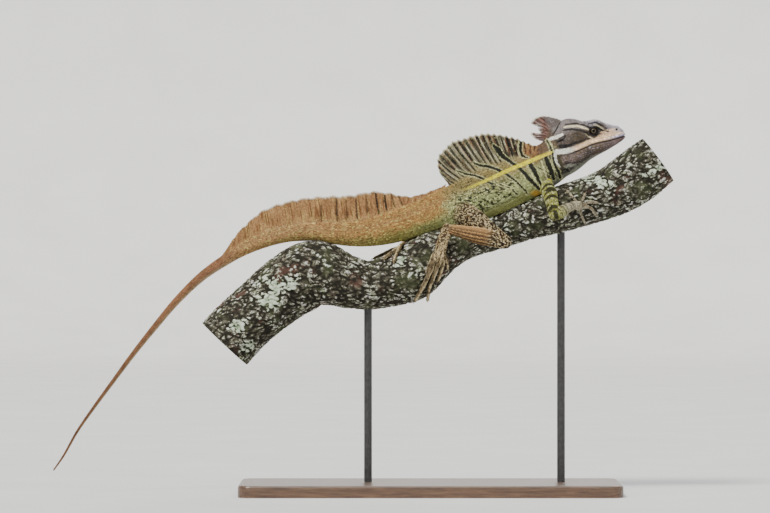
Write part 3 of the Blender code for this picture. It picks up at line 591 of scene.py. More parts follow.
def paintBody(points, t, phi):
    x, z = points[:, 0], points[:, 2]
    high = np.cos(phi)  # 1 on the ridge, -1 under the belly
    fine, grit, patch = noise(points, 1.7, 3), noise(points, 1.15, 8), cloudy(points, 9, 4)
    front = smooth(60, 92, x)
    nape = smooth(84, 108, x) * smooth(0.35, 0.8, high) * smooth(355, 348, z)
    streak = smooth(0.5, 0.38, noise(points * np.array((1, 1, 0.25)), 1.7, 12))
    dashes = smooth(0.56, 0.64, noise(points * np.array((0.5, 1, 0.9)), 1.9, 21))
    flank = smooth(0.62, 0.3, high) * smooth(-0.62, -0.4, high) * smooth(12, 26, x) * smooth(100, 80, x)
    # How far from the middle of a patch of painted shade on the neck's lower side, just behind the head
    behindHead = np.hypot((x - 125) / 8.5, (z - 323) / 19) + (fine - 0.5) * 0.5
    shadow = stripeMask(x, z, headMarks["throatShade"], 0.9) * smooth(0.75, 0.5, fine)
    colour = painted(
        hues["olive"],
        ("khaki", smooth(0.1, 0.75, high)),
        ("green", smooth(0.35, -0.1, high) * 0.8),
        (painted(hues["nape"], (lit("crestDark", 0.6), streak * 0.8)), nape * 0.85),
        ("spot", smooth(0.5, 0.62, fine) * smooth(0.85, 0.3, high) * (0.85 - 0.35 * front)),
        ("black", smooth(0.44, 0.32, grit) * (0.85 - 0.45 * front)),
        ("black", dashes * flank * 0.92),
        (lit("belly", 0.8 + 0.4 * patch), smooth(-0.48, -0.66, high) * smooth(30, 60, x) * 0.95),
        (lit("headBrown", 1.3), smooth(348, 355, z)),
        (lit("headBrown", 0.7 + 0.9 * fine), smooth(106, 112, x + (z - 335) * 0.2) * 0.75),
        (paintTail(points, high, fine, grit, patch), smooth(26, 6, x + (patch - 0.5) * 22)),
        (paintWhip(x, t, high, grit), smooth(-180, -215, x)),
        # Painted shade on the neck's lower side, just behind the head
        (lit("headDark", 0.5), smooth(1.3, 0.8, behindHead) * smooth(0.6, 0.3, high) * 0.7),
        ("throat", smooth(-0.55, -0.85, high) * smooth(100, 116, x) * 0.8),
        (lit("headDark", 0.45), shadow * 0.85))
    armpit = np.hypot((x - 106) / 6, (z - 300.5) / 3.4)
    shoulder = np.hypot((x - 118.5) / 3.2, (z - 312.5) / 2.6)
    colour = painted(paintLines(colour, points), ("amber", smooth(1.2, 0.5, armpit) * 0.85),
                     ("yellow", smooth(1.15, 0.6, shoulder)))
    return lit(colour, 0.84 + 0.32 * patch)


def paintLines(colour, points):
    # The lines waver by a scale or so, and each black one is edged with pale scales
    wobble = (noise(points, 2.0, 34) - 0.5) * 1.5
    x, z = points[:, 0] + wobble, points[:, 2] + (noise(points, 2.0, 35) - 0.5) * 1.5
    for hue, wider, strength in (("spot", 0.9, 0.6), ("black", 0.0, 0.98)):
        for line, widths in stripes["black"]:
            stripe = line, [w * 0.95 + wider for w in widths]
            colour = painted(colour, (hue, stripeMask(x, z, stripe) * strength))
    for stripe in stripes["pale"]:
        colour = painted(colour, ("spot", stripeMask(x, z, stripe, 0.3) * 0.8))
    for key in ("cheekBar", "lipStripe", "jowlLine"):
        colour = painted(colour, ("white", stripeMask(x, z, headMarks[key], 0.35) * 0.95))
    x, z = points[:, 0] + wobble, points[:, 2] + wobble * 0.8
    gap, share = lineGap(x, z, stripes["yellow"][0])
    yellow = painted(hues["yellow"], ("amber", smooth(0.25, 0.0, share) * 0.35))
    return painted(colour, (yellow, stripeMask(x, z, stripes["yellow"], 0.6) * smooth(1.0, 0.7, share) * 0.97))


# Places on the head are given in the photograph's pixels

headMarks = {
    "eyeStripe": mark((563.5, 127.5, 0.7), (570, 126.5, 1.0), (576, 126, 1.0), (582, 127.5, 1.0), (588, 130, 0.6)),
    "cheekBar": mark((549, 139.8, 0.9), (551.5, 138.4, 1.6), (556, 137.6, 1.7), (562, 134.6, 1.2)),
    "lipStripe": mark((622, 134.5, 2.4), (609.5, 136.6, 2.6), (597, 140.4, 2.8), (588, 143.8, 3.1),
                      (581, 146.6, 2.9), (571, 150.3, 2.3), (563, 151.8, 2.5), (556, 152.6, 2.2)),
    "throatShade": mark((557, 173, 3.6), (565, 171, 2.3), (573, 167.8, 1.3), (581, 162.6, 0.8), (588, 157.8, 0.5)),
    "jowlLine": mark((556, 151.5, 1.9), (554.6, 155, 1.5), (555, 159.5, 1.1), (556.6, 163.5, 0.9),
                     (559.5, 167.5, 0.5)),
    "browLine": mark((585.5, 121.5, 0.5), (592, 119.6, 0.9), (598, 119.8, 0.9), (604, 122.6, 0.8),
                     (608, 125.8, 0.4)),
    "browSecond": mark((593, 125, 0.4), (598, 126.2, 0.6), (603, 129.6, 0.4)),
    # The crown line is painted highlight: a pale line along the crown's top outline
    "crownLine": mark((560, 117.8, 0.5), (570, 118.2, 0.7), (578, 119.6, 0.7), (583, 122, 0.4)),
    "cheekLine": mark((585, 134, 0.4), (589, 137.5, 0.6), (592.5, 139, 0.5)),
    "darkLines": (
        mark((563, 130.4, 0.8), (572, 129.4, 1.1), (580, 130.6, 1.1), (586, 133, 1.0), (588, 136, 0.8)),
        mark((565, 124.6, 0.6), (576, 123.8, 1.0), (584, 125.6, 0.9), (590, 128, 0.8)),
        mark((588, 124.2, 0.7), (594.5, 122.6, 0.9), (600, 124.6, 0.8), (606, 128.4, 0.5)),
        mark((596, 127.4, 1.0), (602, 130.6, 1.1), (608, 132, 0.6)),
        mark((590, 135, 1.0), (596, 135.5, 0.9), (601, 133.5, 0.5)),
        mark((549, 144.4, 0.9), (556, 143, 1.0), (563, 139.2, 0.9), (565, 136, 0.7)),
        mark((556, 147, 1.2), (562, 146.6, 1.9), (568, 146, 1.3), (575, 143.2, 0.7), (585, 139.4, 0.4)),
        mark((548, 138, 0.9), (550, 146, 1.2), (553, 152, 1.0), (552.5, 160, 1.5), (556, 168, 1.4), (560, 174, 1.6)),
        mark((560, 122, 0.7), (557, 128, 0.8), (552, 136, 0.7)),
        mark((558.5, 157, 0.8), (559, 162, 0.9), (562, 168, 1.1), (569, 171.5, 0.7)),
    ),
}


def paintJaw(points, along, up, lip, fine, grit, patch):
    rows = smooth(0.2, 0.7, np.sin((along * 0.8 + up * 1.25) * 2.3))  # the fine slanting rows of the jowl
    rim = np.interp(along, (8, 16, 24, 32, 42), (-13, -15.5, -14.6, -12.4, -11.6))
    shadow = stripeMask(points[:, 0], points[:, 2], headMarks["throatShade"], 0.9) * smooth(0.75, 0.5, fine)
    return painted(
        hues["jowl"],
        ("headDark", smooth(0.52, 0.34, patch) * 0.6),
        (lit("snout", 0.85), rows * smooth(0.42, 0.6, grit) * 0.75),
        (hues["snout"] * np.array((0.66, 0.54, 0.48)), smooth(42, 58, along) * (0.5 + 0.35 * fine)),
        ("rust", smooth(54, 64, along) * bump(up - lip, -1.5, 1.1) * 0.3),
        # Painted shadow: a black line along the jowl's lower rim, over the throat
        ("black", bump(up, rim - 0.2, 1.5) * smooth(44, 30, along) * 0.6),
        (lit("throat", 0.75 + 0.5 * fine), smooth(rim - 0.8, rim - 2.6, up) * 0.95),
        (lit("headDark", 0.45), shadow * 0.85))


def paintHead(points):
    along, up, out = headPlace(points)
    fine, grit, patch = noise(points, 1.6, 5), noise(points, 1.0, 7), cloudy(points, 7, 6)
    lip = lipLine(along)
    upper = np.interp(along, (40, 50, 60, 70), (1.5, 6.5, 6.0, 3.5))
    side = smooth(40, 46, along) * smooth(upper + 0.8, upper - 0.8, up) * 0.75 * smooth(70, 58, along)
    below = smooth(lip + 0.2, lip - 0.5, up)
    eyeGap, hole = headGap(along, up, "eye", 1.25), headGap(along, up, "nostril")
    mouth = bump(up - lip, -0.35, 0.75) * smooth(head["mouthCorner"] - 1, head["mouthCorner"] + 2, along)
    bluish = smooth(48, 58, along) * bump(up - lip, 1, 1.8)
    lipHue = painted(hues["white"], ("lip", smooth(12, 22, along)),
                     (hues["snout"] * np.array((0.8, 0.85, 1.1)), bluish))

    def drawn(stripe, soft):
        return stripeMask(points[:, 0], points[:, 2], stripe, soft)

    colour = painted(
        hues["headBrown"],
        ("headDark", smooth(0.58, 0.36, patch) * 0.8),
        ("grey", smooth(13, 20, up + along * 0.05) * smooth(40, 30, along) * 0.85),
        (lit("snout", 0.7), smooth(0.55, 0.75, fine) * 0.4),
        (lit("temple", 0.4 + 1.1 * patch), bump(along, 25, 10) * bump(up, 7, 7) * 0.8),
        # Painted highlight: pale lilac over the top of the head above the eyes
        (lit("snout", 0.9), bump(along, 44, 8) * smooth(12.5, 15.5, up) * 0.75),
        ("black", smooth(0.42, 0.28, grit) * 0.45),
        ("snout", smooth(50, 64, along) * smooth(-7, 0, up) * 0.85),
        (painted(hues["lip"], ("pink", smooth(0.5, 0.3, fine) * 0.8)), side),
        (paintJaw(points, along, up, lip, fine, grit, patch), below),
        (lit(lipHue, 0.86 + 0.4 * fine), drawn(headMarks["lipStripe"], 0.7) * (1 - below) * 0.97),
        # The crown line among these is painted highlight along the crown's top outline
        *[(hue, drawn(headMarks[key], 0.3) * strength) for key, hue, strength in (
            ("browLine", "snout", 0.85), ("crownLine", "snout", 0.75), ("cheekLine", "cream", 0.7),
            ("browSecond", "cream", 0.75))],
        *[("black", drawn(stripe, 0.4) * 0.92) for stripe in headMarks["darkLines"]],
        *[(lit(hue, 1.05), drawn(headMarks[key], 0.35) * strength) for key, hue, strength in (
            ("eyeStripe", "cream", 0.97), ("cheekBar", "white", 0.97), ("jowlLine", "white", 0.9))],
        (lit("black", 1.5), smooth(4.9, 3.7, eyeGap) * 0.85),
        # Painted shade: black in the mouth's slit and in the nostril's hole
        ("black", mouth * 0.95),
        ("black", smooth(1.4, 0.7, hole) * 0.95))
    return lit(colour, 0.86 + 0.28 * patch)


def paintLimb(points, t, phi, tube, kind):
    share = t / tube.length
    x, y, z = points.T
    fine, grit, patch = noise(points, 1.5, 15), noise(points, 1.1, 17), cloudy(points, 6, 16)
    dashes = noise(np.stack([x * 0.8 + z * 0.5, y, z * 1.5 - x * 0.6], -1), 1.9, 18)
    netted = painted(lit("limbDark", 0.6), ("limbCream", smooth(0.505, 0.585, dashes) * 0.92),
                     (lit("orange", 0.9), smooth(0.6, 0.72, fine) * 0.45))
    if kind == "Thigh":
        return lit(painted(netted, ("olive", smooth(0.3, 0.0, share) * 0.5)), 0.74 + 0.35 * patch)
    if kind == "Shin":
        high = np.cos(phi)
        lines = smooth(-0.2, 0.75, np.sin(phi * 13 + fine * 1.4))
        # On the shin, the palest top is painted highlight, and the dark between its long lines, deepening towards the
        # underside, which turns black, is painted shade
        plain = painted(
            hues["shin"],
            ("limbDark", (1 - lines) * smooth(0.85, 0.2, high) * 0.85),
            ("shinPale", smooth(0.86, 0.99, high) * 0.85),
            ("black", smooth(-0.6, -1.0, high) * 0.5))
        return lit(painted(netted, (plain, smooth(0.18, 0.36, share) * smooth(1.04, 0.92, share))), 0.85 + 0.3 * patch)
    if kind == "Foot":
        pale = smooth(-0.3, 0.4, np.sin(phi * 7 + fine * 2.5))
        return painted(netted, ("limbCream", pale * smooth(0.4, 0.9, share) * 0.6), ("shin", 0.22 * patch))
    bars = smooth(0.50, 0.58, noise(np.stack([share * 26, np.cos(phi) * 0.8, np.sin(phi) * 0.8], -1), 2.0, 23))
    mottle = painted(hues["arm"], ("spot", smooth(0.52, 0.66, fine) * 0.8), ("black", smooth(0.42, 0.32, grit) * 0.7))
    if kind == "UpperArm":
        return lit(painted(mottle, ("black", bars * 0.88)), 0.82 + 0.35 * patch)
    pale = smooth(0.2, 0.8, share) if kind == "Forearm" else 0.9 + 0 * share
    return painted(mottle, (lit("finger", 0.75 + 0.4 * fine), pale), ("limbDark", bars * 0.7))


def paintDigit(points, share, phi, kind):
    hue, strength = {"Foot": ("limbCream", 0.8), "Hand": ("finger", 0.5)}[kind]
    grit = noise(points, 1.3, 26)
    # The sides of each toe and finger are painted dark: painted shade between neighbouring digits
    sides = smooth(0.2, 0.85, np.abs(np.sin(phi)) + (grit - 0.5) * 0.5)
    bands = smooth(0.72, 0.95, np.sin(share * 24 + noise(points, 4, 25) * 4))
    return painted(hues[hue], (lit("limbDark", 0.7), sides * strength), (lit("limbDark", 0.6), bands * 0.75),
                   ("orange", smooth(0.58, 0.7, grit) * 0.4))


# The fins on its head, back and tail: x and z of their edges, or along and up on the head

fins = {
    "headCrest": {
        "node": "head_crest",
        "tips": ((14.5, 30.8), (9, 34.8), (3.1, 38.4), (-4.5, 40.9), (-10.5, 40.2), (-15, 37), (-17.4, 32.5),
                 (-18, 29), (-18.6, 25.5), (-16.2, 20.6), (-9.5, 15.8), (-5.5, 14.2)),
        "roots": ((14, 24), (6, 20), (-2, 12)),
        "rays": 15, "web": 0.8, "thick": 4.4, "lean": 0.0, "tears": {8: 0.66, 9: 0.58}, "waves": 0,
    },
    "backSail": {
        "node": "back_sail",
        "tips": ((110.5, 350.6), (105, 348.7), (99.5, 351), (93.5, 353.4), (85.4, 356.6), (79.6, 358.4),
                 (72, 359.6), (57, 361.2), (43, 359.4), (33, 356), (22, 353), (13.5, 345), (7.8, 338.5), (7, 329),
                 (10.5, 319.5), (17.5, 313.5)),
        "span": (0.5, 6.2, 9, 3.0),  # the first and last knots of the back, how many points, and how deep they lie
        "rays": 24, "web": 2.3, "thick": 3.6, "lean": 0.03, "tears": {}, "waves": 0,
    },
    "tailSail": {
        "node": "tail_sail",
        "tips": ((15.6, 309.8), (2, 304), (-23, 298.5), (-39, 301.5), (-56, 303.5), (-81, 299.5), (-106, 298.5),
                 (-130, 296), (-155, 289.5), (-172, 281.5), (-181, 273.5), (-192, 262.5), (-201, 249), (-206, 241)),
        "span": (6.55, 17.2, 16, 2.5),
        "rays": 31, "web": 0.8, "thick": 3.6, "lean": 0.0, "tears": {}, "waves": 17,
    },
    "grid": (8, 44),  # points from one ray to the next, and steps up the fin
    "rayWidth": 0.16,  # as a share of the way to the next ray
    "edge": 0.9,
    "proud": 0.45,  # the rays' rise over the web
    "scales": {"headCrest": (2, 0.9, 0.16), "backSail": (2, 1.2, 0.14), "tailSail": (1, 1.3, 0.14)},
    "root": {"headCrest": (2.2, 0.42), "backSail": (1.5, 0.24), "tailSail": (1.2, 0.3)},  # its flesh: spread, reach
}


def backLine(first, last, count, sink):
    t = np.linspace(bodyRail.knot(first), bodyRail.knot(last), count)
    middle, tall, wide = bodyTube.sizes(t)
    along, side, up = bodyTube.frame(t)
    return middle + up * (tall - sink)[:, None]


def finLines(name, u):  # the places on a fin's root and along its edge
    facts = fins[name]
    if name == "headCrest":
        lines = [headPoint(*np.array(facts[key]).T, 0.0) for key in ("roots", "tips")]
    else:
        lines = [backLine(*facts["span"]), np.array([(x, 0.0, z) for x, z in facts["tips"]])]
    return [rail.at(u * rail.length) for rail in map(Rail, lines)]


def finRoot(name):
    # A blade that is thick at the back and ends thin inside the fin, so that the skin runs up into it
    facts, (spread, reach) = fins[name], fins["root"][name]
    root, tip = finLines(name, np.linspace(0.004, 0.996, facts["rays"] * 3))
    v = np.linspace(-0.03, reach, 12)
    half = (facts["thick"] * (1 - np.maximum(v, 0)) ** 1.3 + fins["edge"]) / 2 + spread * (1 - 1.75 * v / reach)
    half = np.maximum(half, 0.25)
    blade = root[:, None] + (tip - root)[:, None] * v[None, :, None]
    left, right = blade.copy(), blade[:, ::-1].copy()
    left[..., 1] += half
    right[..., 1] -= half[::-1]
    return loft(np.concatenate([left, right], axis=1))


# The skin: lofts joined by a voxel remesh, then worked as a sculptor would

skinWork = {"voxel": 0.66, "softening": 6, "barkGap": 0.35}


def tubeRings(tube, sides, step, thin=0.0, ends=True, palm=False):
    phi, rings = circle(sides), []
    for t in np.linspace(0, tube.length, max(4, int(tube.length / step))):
        grow = max(0.0, thin - float(tube.rail.at(t)[4]))
        rings.append(tube.point(np.full(sides, t), phi, grow))
    for turn in np.radians((25, 50, 70, 83)) if ends else ():  # the rounded ends
        for t, way in ((0.0, -1.0), (tube.length, 0.5 if palm else 1.0)):
            middle, tall, wide = tube.sizes(t)
            edge = tube.point(np.full(sides, t), phi)
            reach = tube.rail.tangent(t) * math.sin(turn) * (tall + wide) / 2 * way
            ring = middle + (edge - middle) * math.cos(turn) + reach
            rings = [ring, *rings] if way < 0 else [*rings, ring]
    return rings


def digitPath(owner, marks, radius):
    points = [onBark(x, z, side, radius * 0.9 + digits["lift"]) for x, z, side in marks]
    palm = tubes[owner].rail
    middles = palm.at(np.linspace(0, palm.length, 12))[:, :3]
    root = middles[np.linalg.norm(middles - points[0], axis=1).argmin()]
    if np.linalg.norm(root - points[0]) > radius:
        points.insert(0, root)
    return Rail(points)


def kindOf(name):  # rightFoot and rightFoot3 are both a Foot
    return name.replace("right", "").replace("left", "").rstrip("12345")


def digitTubes():
    made = {}
    for owner in ("rightFoot", "leftFoot", "rightHand", "leftHand"):
        kind = kindOf(owner)
        for n, (marks, share) in enumerate(zip(digits[owner], digits["shares"])):
            radius = digits["radius"][kind] * share
            path = digitPath(owner, marks, radius)
            rows = []
            for k in range(13):
                u = k / 12
                swell = 1 + digits["joints"] * math.cos(u * 6 * 2 * math.pi)
                thick = radius * (1 - digits["taper"] * u) * swell
                rows.append((*path.at(u * path.length), thick, thick))
            made[f"{owner}{n + 1}"] = Tube(rows, limbs["up"])
    return made


def buildSkin():
    sides = head["sides"]
    backRing, overlap = (bodyTube.point(np.full(sides, t), circle(sides)) for t in (0.0, 3.0))
    rings = [overlap.mean(0) + (overlap - overlap.mean(0)) * 0.97, backRing]
    rings += [headRing(a, sides) for a in np.arange(6, 71, head["step"])]
    rings += [headRing(71.0, sides, s) for s in (0.9, 0.55)]
    parts = [loft(tubeRings(bodyTube, body["sides"], body["step"], body["thinTail"], ends=False)), loft(rings)]
    parts += [loft(tubeRings(tube, 40, 1.5, palm=kindOf(name) in ("Foot", "Hand"))) for name, tube in tubes.items()]
    parts += [loft(tubeRings(tube, 20, 1.0)) for tube in toes.values()]
    parts += [finRoot(name) for name in ("headCrest", "backSail", "tailSail")]
    skin = addMesh("skin", *joinLofts(parts))
    remesh = skin.modifiers.new("remesh", "REMESH")
    remesh.mode = "VOXEL"
    remesh.voxel_size = skinWork["voxel"] * mm
    soften = skin.modifiers.new("soften", "SMOOTH")
    soften.factor = 0.5
    soften.iterations = skinWork["softening"]
    return applied(skin)


def finerHead(skin):
    bm = bmesh.new()
    bm.from_mesh(skin.data)
    bm.verts.ensure_lookup_table()
    points = np.array([v.co for v in bm.verts]) / mm
    along, up, out = headPlace(points)
    inside = (along > 1) & (np.abs(out) < 22)
    edges = [e for e in bm.edges if inside[e.verts[0].index] and inside[e.verts[1].index]]
    bmesh.ops.subdivide_edges(bm, edges=edges, cuts=1, use_grid_fill=True)
    bm.to_mesh(skin.data)
    bm.free()
    skin.data.update()


def relax(mesh, points, share, times):
    # Smooths the points by their share, between 0 and 1
    edges = np.empty(len(mesh.edges) * 2, np.int32)
    mesh.edges.foreach_get("vertices", edges)
    a, b = edges.reshape(-1, 2).T
    count = np.bincount(a, minlength=len(points)) + np.bincount(b, minlength=len(points))
    for _ in range(times):
        total = np.stack([np.bincount(a, points[b, k], len(points)) + np.bincount(b, points[a, k], len(points))
                          for k in range(3)], -1)
        points = points + (total / count[:, None] - points) * (share * 0.6)[:, None]
    return points


def nearPlaces(points, kinds, share, radius):  # how near each point is to a place along some of the limbs
    near = np.zeros(len(points))
    for name, tube in tubes.items():
        if kindOf(name) in kinds:
            place = tube.rail.at(tube.length * share)[:3]
            near = np.maximum(near, smooth(radius, radius * 0.6, np.linalg.norm(points - place, axis=1)))
    return near


def drawTailThin(points):
    t, phi, share = bodyTube.place(points)
    half = bodyTube.rail.at(t)[:, 4]
    thick = np.maximum(half, body["thinTail"])
    behind = (t > bodyRail.knot(18)) & (share * half < 6)
    middle = bodyTube.rail.at(t)[:, :3]
    factor = np.where(behind, half / thick, 1.0)
    return middle + (points - middle) * factor[:, None]


def sculptHead(points, normals):
    along, up, out = headPlace(points)
    near = smooth(-4, 4, along)
    above = up - lipLine(along)
    inMouth = smooth(head["mouthCorner"], head["mouthCorner"] + 3, along)
    lips = 0.40 * bump(above, 1.5, 0.9) + 0.30 * bump(above, -1.6, 0.9) - 1.15 * bump(above, -0.15, 0.42)
    push = lips * inMouth + 0.55 * bump(along, 41, 8) * bump(up, 17.4, 1.6)
    # The ridge that runs from the brow to the nostril, the hollow below it, the jaw's muscles and the jowl's folds
    push += 0.35 * bump(up, np.interp(along, (46, 64), (14.2, 6.3)), 1.1) * smooth(46, 52, along)
    push -= 0.35 * bump(up, np.interp(along, (46, 64), (9.5, 3.8)), 1.6) * smooth(47, 53, along)
    push += 0.8 * bump(along, 20, 9) * bump(up, 6, 6) + 0.7 * bump(along, 11, 8) * bump(up, -11, 5)
    push -= 0.5 * bump(along, 30, 3) * bump(up, 3, 8)
    push += 0.22 * np.sin(up * 2.2 - along * 0.9) * bump(up, -17, 5) * smooth(40, 20, along)
    # The ear's disc and the nostril, each sunk inside a low rim
    earGap = headGap(along, up, "ear", 0.85)
    push += 0.45 * bump(earGap, 4.2, 0.8) - 1.0 * smooth(3.9, 2.9, earGap)
    nostrilGap = headGap(along, up, "nostril", 1.0, 0.8)
    push += 0.25 * bump(nostrilGap, 1.7, 0.6) - 1.0 * smooth(1.15, 0.5, nostrilGap)
    points = points + normals * (push * near)[:, None]
    # The lids follow the eyeball, and the skin dips behind it inside their opening
    da, du = along - head["eye"][0], up - head["eye"][1]
    ball = head["eyeOut"] + np.sqrt(np.maximum(0.2, (head["eyeRadius"] + 0.1) ** 2 - da ** 2 - du ** 2))
    ring = np.hypot(da / head["lids"][0], (du + 0.02 * da ** 2) / head["lids"][1])
    lid = ball + 0.45 + 0.5 * bump(ring, 1.14, 0.13) - 0.25 * bump(ring, 1.42, 0.1) + 0.25 * bump(ring, 1.66, 0.14)
    share = smooth(2.0, 1.35, ring) * (np.abs(out) > 4.5) * near
    target = np.where(ring < 1.0, ball - 1.6 * smooth(1.0, 0.86, ring), np.maximum(lid, np.abs(out) - 0.5))
    moved = np.abs(out) * (1 - share) + target * share
    points[:, 1] = np.where(share > 0, np.sign(out) * moved, points[:, 1])
    return points


def sculptBody(points, normals, phi):
    x = points[:, 0]
    high = np.cos(phi)
    # The ribs, the fold along the belly's edge, two folds across the neck and the tail's unevenness
    trunk = smooth(118, 104, x) * smooth(10, 30, x)
    ribs = np.sin((x + points[:, 2] * 0.55) * 0.95) * bump(high, -0.05, 0.35) * 0.10
    fold = -0.55 * bump(high, -0.56, 0.05) + 0.25 * bump(high, -0.66, 0.08)
    push = trunk * (ribs + fold + 0.5 * (cloudy(points, 17, 41) - 0.5))
    slant = x - 0.6 * (points[:, 2] - 320)
    neckFold = -0.5 * bump(slant, 106, 1.1) - 0.35 * bump(slant, 111, 0.9)
    push += neckFold * smooth(0.55, 0.1, high) * smooth(88, 100, x)
    push += 0.35 * (noise(points, 6, 44) - 0.5) * smooth(-210, -150, x)
    return points + normals * push[:, None]


def pushOffBark(points, gap):
    low, high = branchLine[0, 0] - 40, branchLine[-1, 0] + 40
    index = np.nonzero((points[:, 0] > low) & (points[:, 0] < high) & (points[:, 2] < 330))[0]
    part = points[index]
    middle, up = branchFrame(branchStops[nearestOf(part[:, (0, 2)], branchLine[:, (0, 2)])])
    away = part - middle
    a, b = (away * up).sum(-1), -away[:, 1]
    reach, phi = np.hypot(a, b), np.arctan2(b, a)
    wanted = branchRadius(middle[:, 0], phi) + gap
    scale = np.where((reach < wanted) & (reach > 1), wanted / np.maximum(reach, 1), 1.0)
    points = points.copy()
    points[index] = middle + away * scale[:, None]
    return points


def regions(points):
    # Which part each point belongs to, with its place along and round that part
    owners = {"body": bodyTube, **tubes, **toes}
    best, which = np.full(len(points), 9e9), np.zeros(len(points), int)
    along, turn = np.zeros(len(points)), np.zeros(len(points))
    for k, tube in enumerate(owners.values()):
        rows = tube.rail.rows
        pad = rows[:, 3:5].max() + 4
        low, high = rows[:, :3].min(0) - pad, rows[:, :3].max(0) + pad
        index = np.nonzero(((points > low) & (points < high)).all(1))[0]
        if not len(index):
            continue
        t, phi, share = tube.place(points[index])
        score = share if k else share * 0.98
        near = score < best[index]
        pick = index[near]
        best[pick], which[pick], along[pick], turn[pick] = score[near], k, t[near], phi[near]
    headAlong, headUp, headOut = headPlace(points)
    isHead = (headAlong > 0.5) & (np.abs(headOut) < 22) & (headUp > -30)
    isHead |= (which == 0) & (along < 0.6) & (headAlong > -22)
    return list(owners), which, along, turn, isHead, headAlong


def paintSkin(points, found):
    names, which, along, turn, isHead, headAlong = found
    colour = np.zeros((len(points), 3))
    for k, name in enumerate(names):
        mask = which == k
        if not mask.any():
            continue
        part, kind = (points[mask], along[mask], turn[mask]), kindOf(name)
        if name == "body":
            colour[mask] = paintBody(*part)
        elif name in tubes:
            colour[mask] = paintLimb(*part, tubes[name], kind)
        else:
            colour[mask] = paintDigit(part[0], part[1] / toes[name].length, part[2], kind)
    if isHead.any():
        colour[isHead] = painted(colour[isHead], (paintHead(points[isHead]), smooth(0.5, 5.0, headAlong[isHead])))
    return colour


# Materials

class Flow:
    # One output of a shader tree, with which sums can be written
    def __init__(self, tree, socket):
        self.tree, self.socket = tree, socket

    def node(self, kind, settings=None, sockets=None, output=0):
        made = self.tree.nodes.new(kind)
        for key, value in (settings or {}).items():
            setattr(made, key, value)
        for key, value in (sockets or {}).items():
            if isinstance(value, Flow):
                self.tree.links.new(value.socket, made.inputs[key])
            else:
                made.inputs[key].default_value = value
        return Flow(self.tree, made.outputs[output])

    def sum(self, operation, a, b):
        return self.node("ShaderNodeMath", {"operation": operation}, {0: a, 1: b})

    def __add__(self, other):
        return self.sum("ADD", self, other)

    def __radd__(self, other):
        return self.sum("ADD", other, self)

    def __sub__(self, other):
        return self.sum("SUBTRACT", self, other)

    def __rsub__(self, other):
        return self.sum("SUBTRACT", other, self)

    def __mul__(self, other):
        return self.sum("MULTIPLY", self, other)

    def step(self, low, high):
        return self.node("ShaderNodeMapRange", {"interpolation_type": "SMOOTHSTEP"},
                         {"Value": self, "From Min": low, "From Max": high})

    def ramp(self, *stops):
        made = self.tree.nodes.new("ShaderNodeValToRGB")
        while len(made.color_ramp.elements) < len(stops):
            made.color_ramp.elements.new(0.5)
        for element, (place, colour) in zip(made.color_ramp.elements, stops):
            element.position = place
            element.color = (*colour, 1.0)
        self.tree.links.new(self.socket, made.inputs["Fac"])
        return Flow(self.tree, made.outputs[0])

    def blend(self, other, share, mode="MIX"):  # of two colours, which are sockets 6 and 7
        return self.node("ShaderNodeMix", {"data_type": "RGBA", "blend_type": mode},
                         {0: share, 6: self, 7: other}, 2)

    def relief(self, distance, strength):  # self is the height
        return self.node("ShaderNodeBump", None, {"Height": self, "Distance": distance, "Strength": strength})

    # Of a material's place:

    def read(self, name):
        return self.node("ShaderNodeAttribute", {"attribute_name": name}, output=2)

    def stretch(self, factors):
        return self.node("ShaderNodeVectorMath", {"operation": "MULTIPLY"}, {0: self, 1: factors})

    def grain(self, scale, detail=3.0, rough=0.55):
        return self.node("ShaderNodeTexNoise", None, {"Vector": self, "Scale": scale, "Detail": detail,
                                                      "Roughness": rough})

    def cells(self, scale):
        return self.node("ShaderNodeTexVoronoi", {"feature": "F1"}, {"Vector": self, "Scale": scale})


def newMaterial(name, **fixed):
    material = bpy.data.materials.new(name)
    material.use_nodes = True
    tree = material.node_tree
    shader = tree.nodes["Principled BSDF"]
    for key, value in fixed.items():
        shader.inputs[key.replace("_", " ")].default_value = value
    return material, Flow(tree, None).node("ShaderNodeTexCoord", output=3)


def dress(material, **flows):
    tree = material.node_tree
    for key, flow in flows.items():
        tree.links.new(flow.socket, tree.nodes["Principled BSDF"].inputs[key.replace("_", " ")])
    return material


def hideMaterial(name, gloss, grainSize, depth):
    # Painted hide: the painted colour, which holds the markings together with some painted shade and highlight, with
    # finer mottling, worn gloss and a fine grain
    material, place = newMaterial(name, Coat_Roughness=0.3, Specular_IOR_Level=0.22)
    paint = place.node("ShaderNodeVertexColor", {"layer_name": "paint"})
    speck, broad = place.grain(900.0 / grainSize, 4.0), place.grain(120.0)
    shade = (speck * 0.7 + broad * 0.3).ramp(
        (0.3, (0.62, 0.60, 0.58)), (0.5, (0.95, 0.95, 0.95)), (0.72, (1.0, 1.0, 1.0)))
    return dress(
        material,
        Base_Color=paint.blend(shade, 1.0, "MULTIPLY"),
        Roughness=gloss + broad * 0.16 + speck * 0.12,
        Coat_Weight=0.01 + broad * 0.05,
        Normal=(place.cells(1000.0 / grainSize) * -0.5 + speck * 0.5).relief(depth * mm, 0.7))


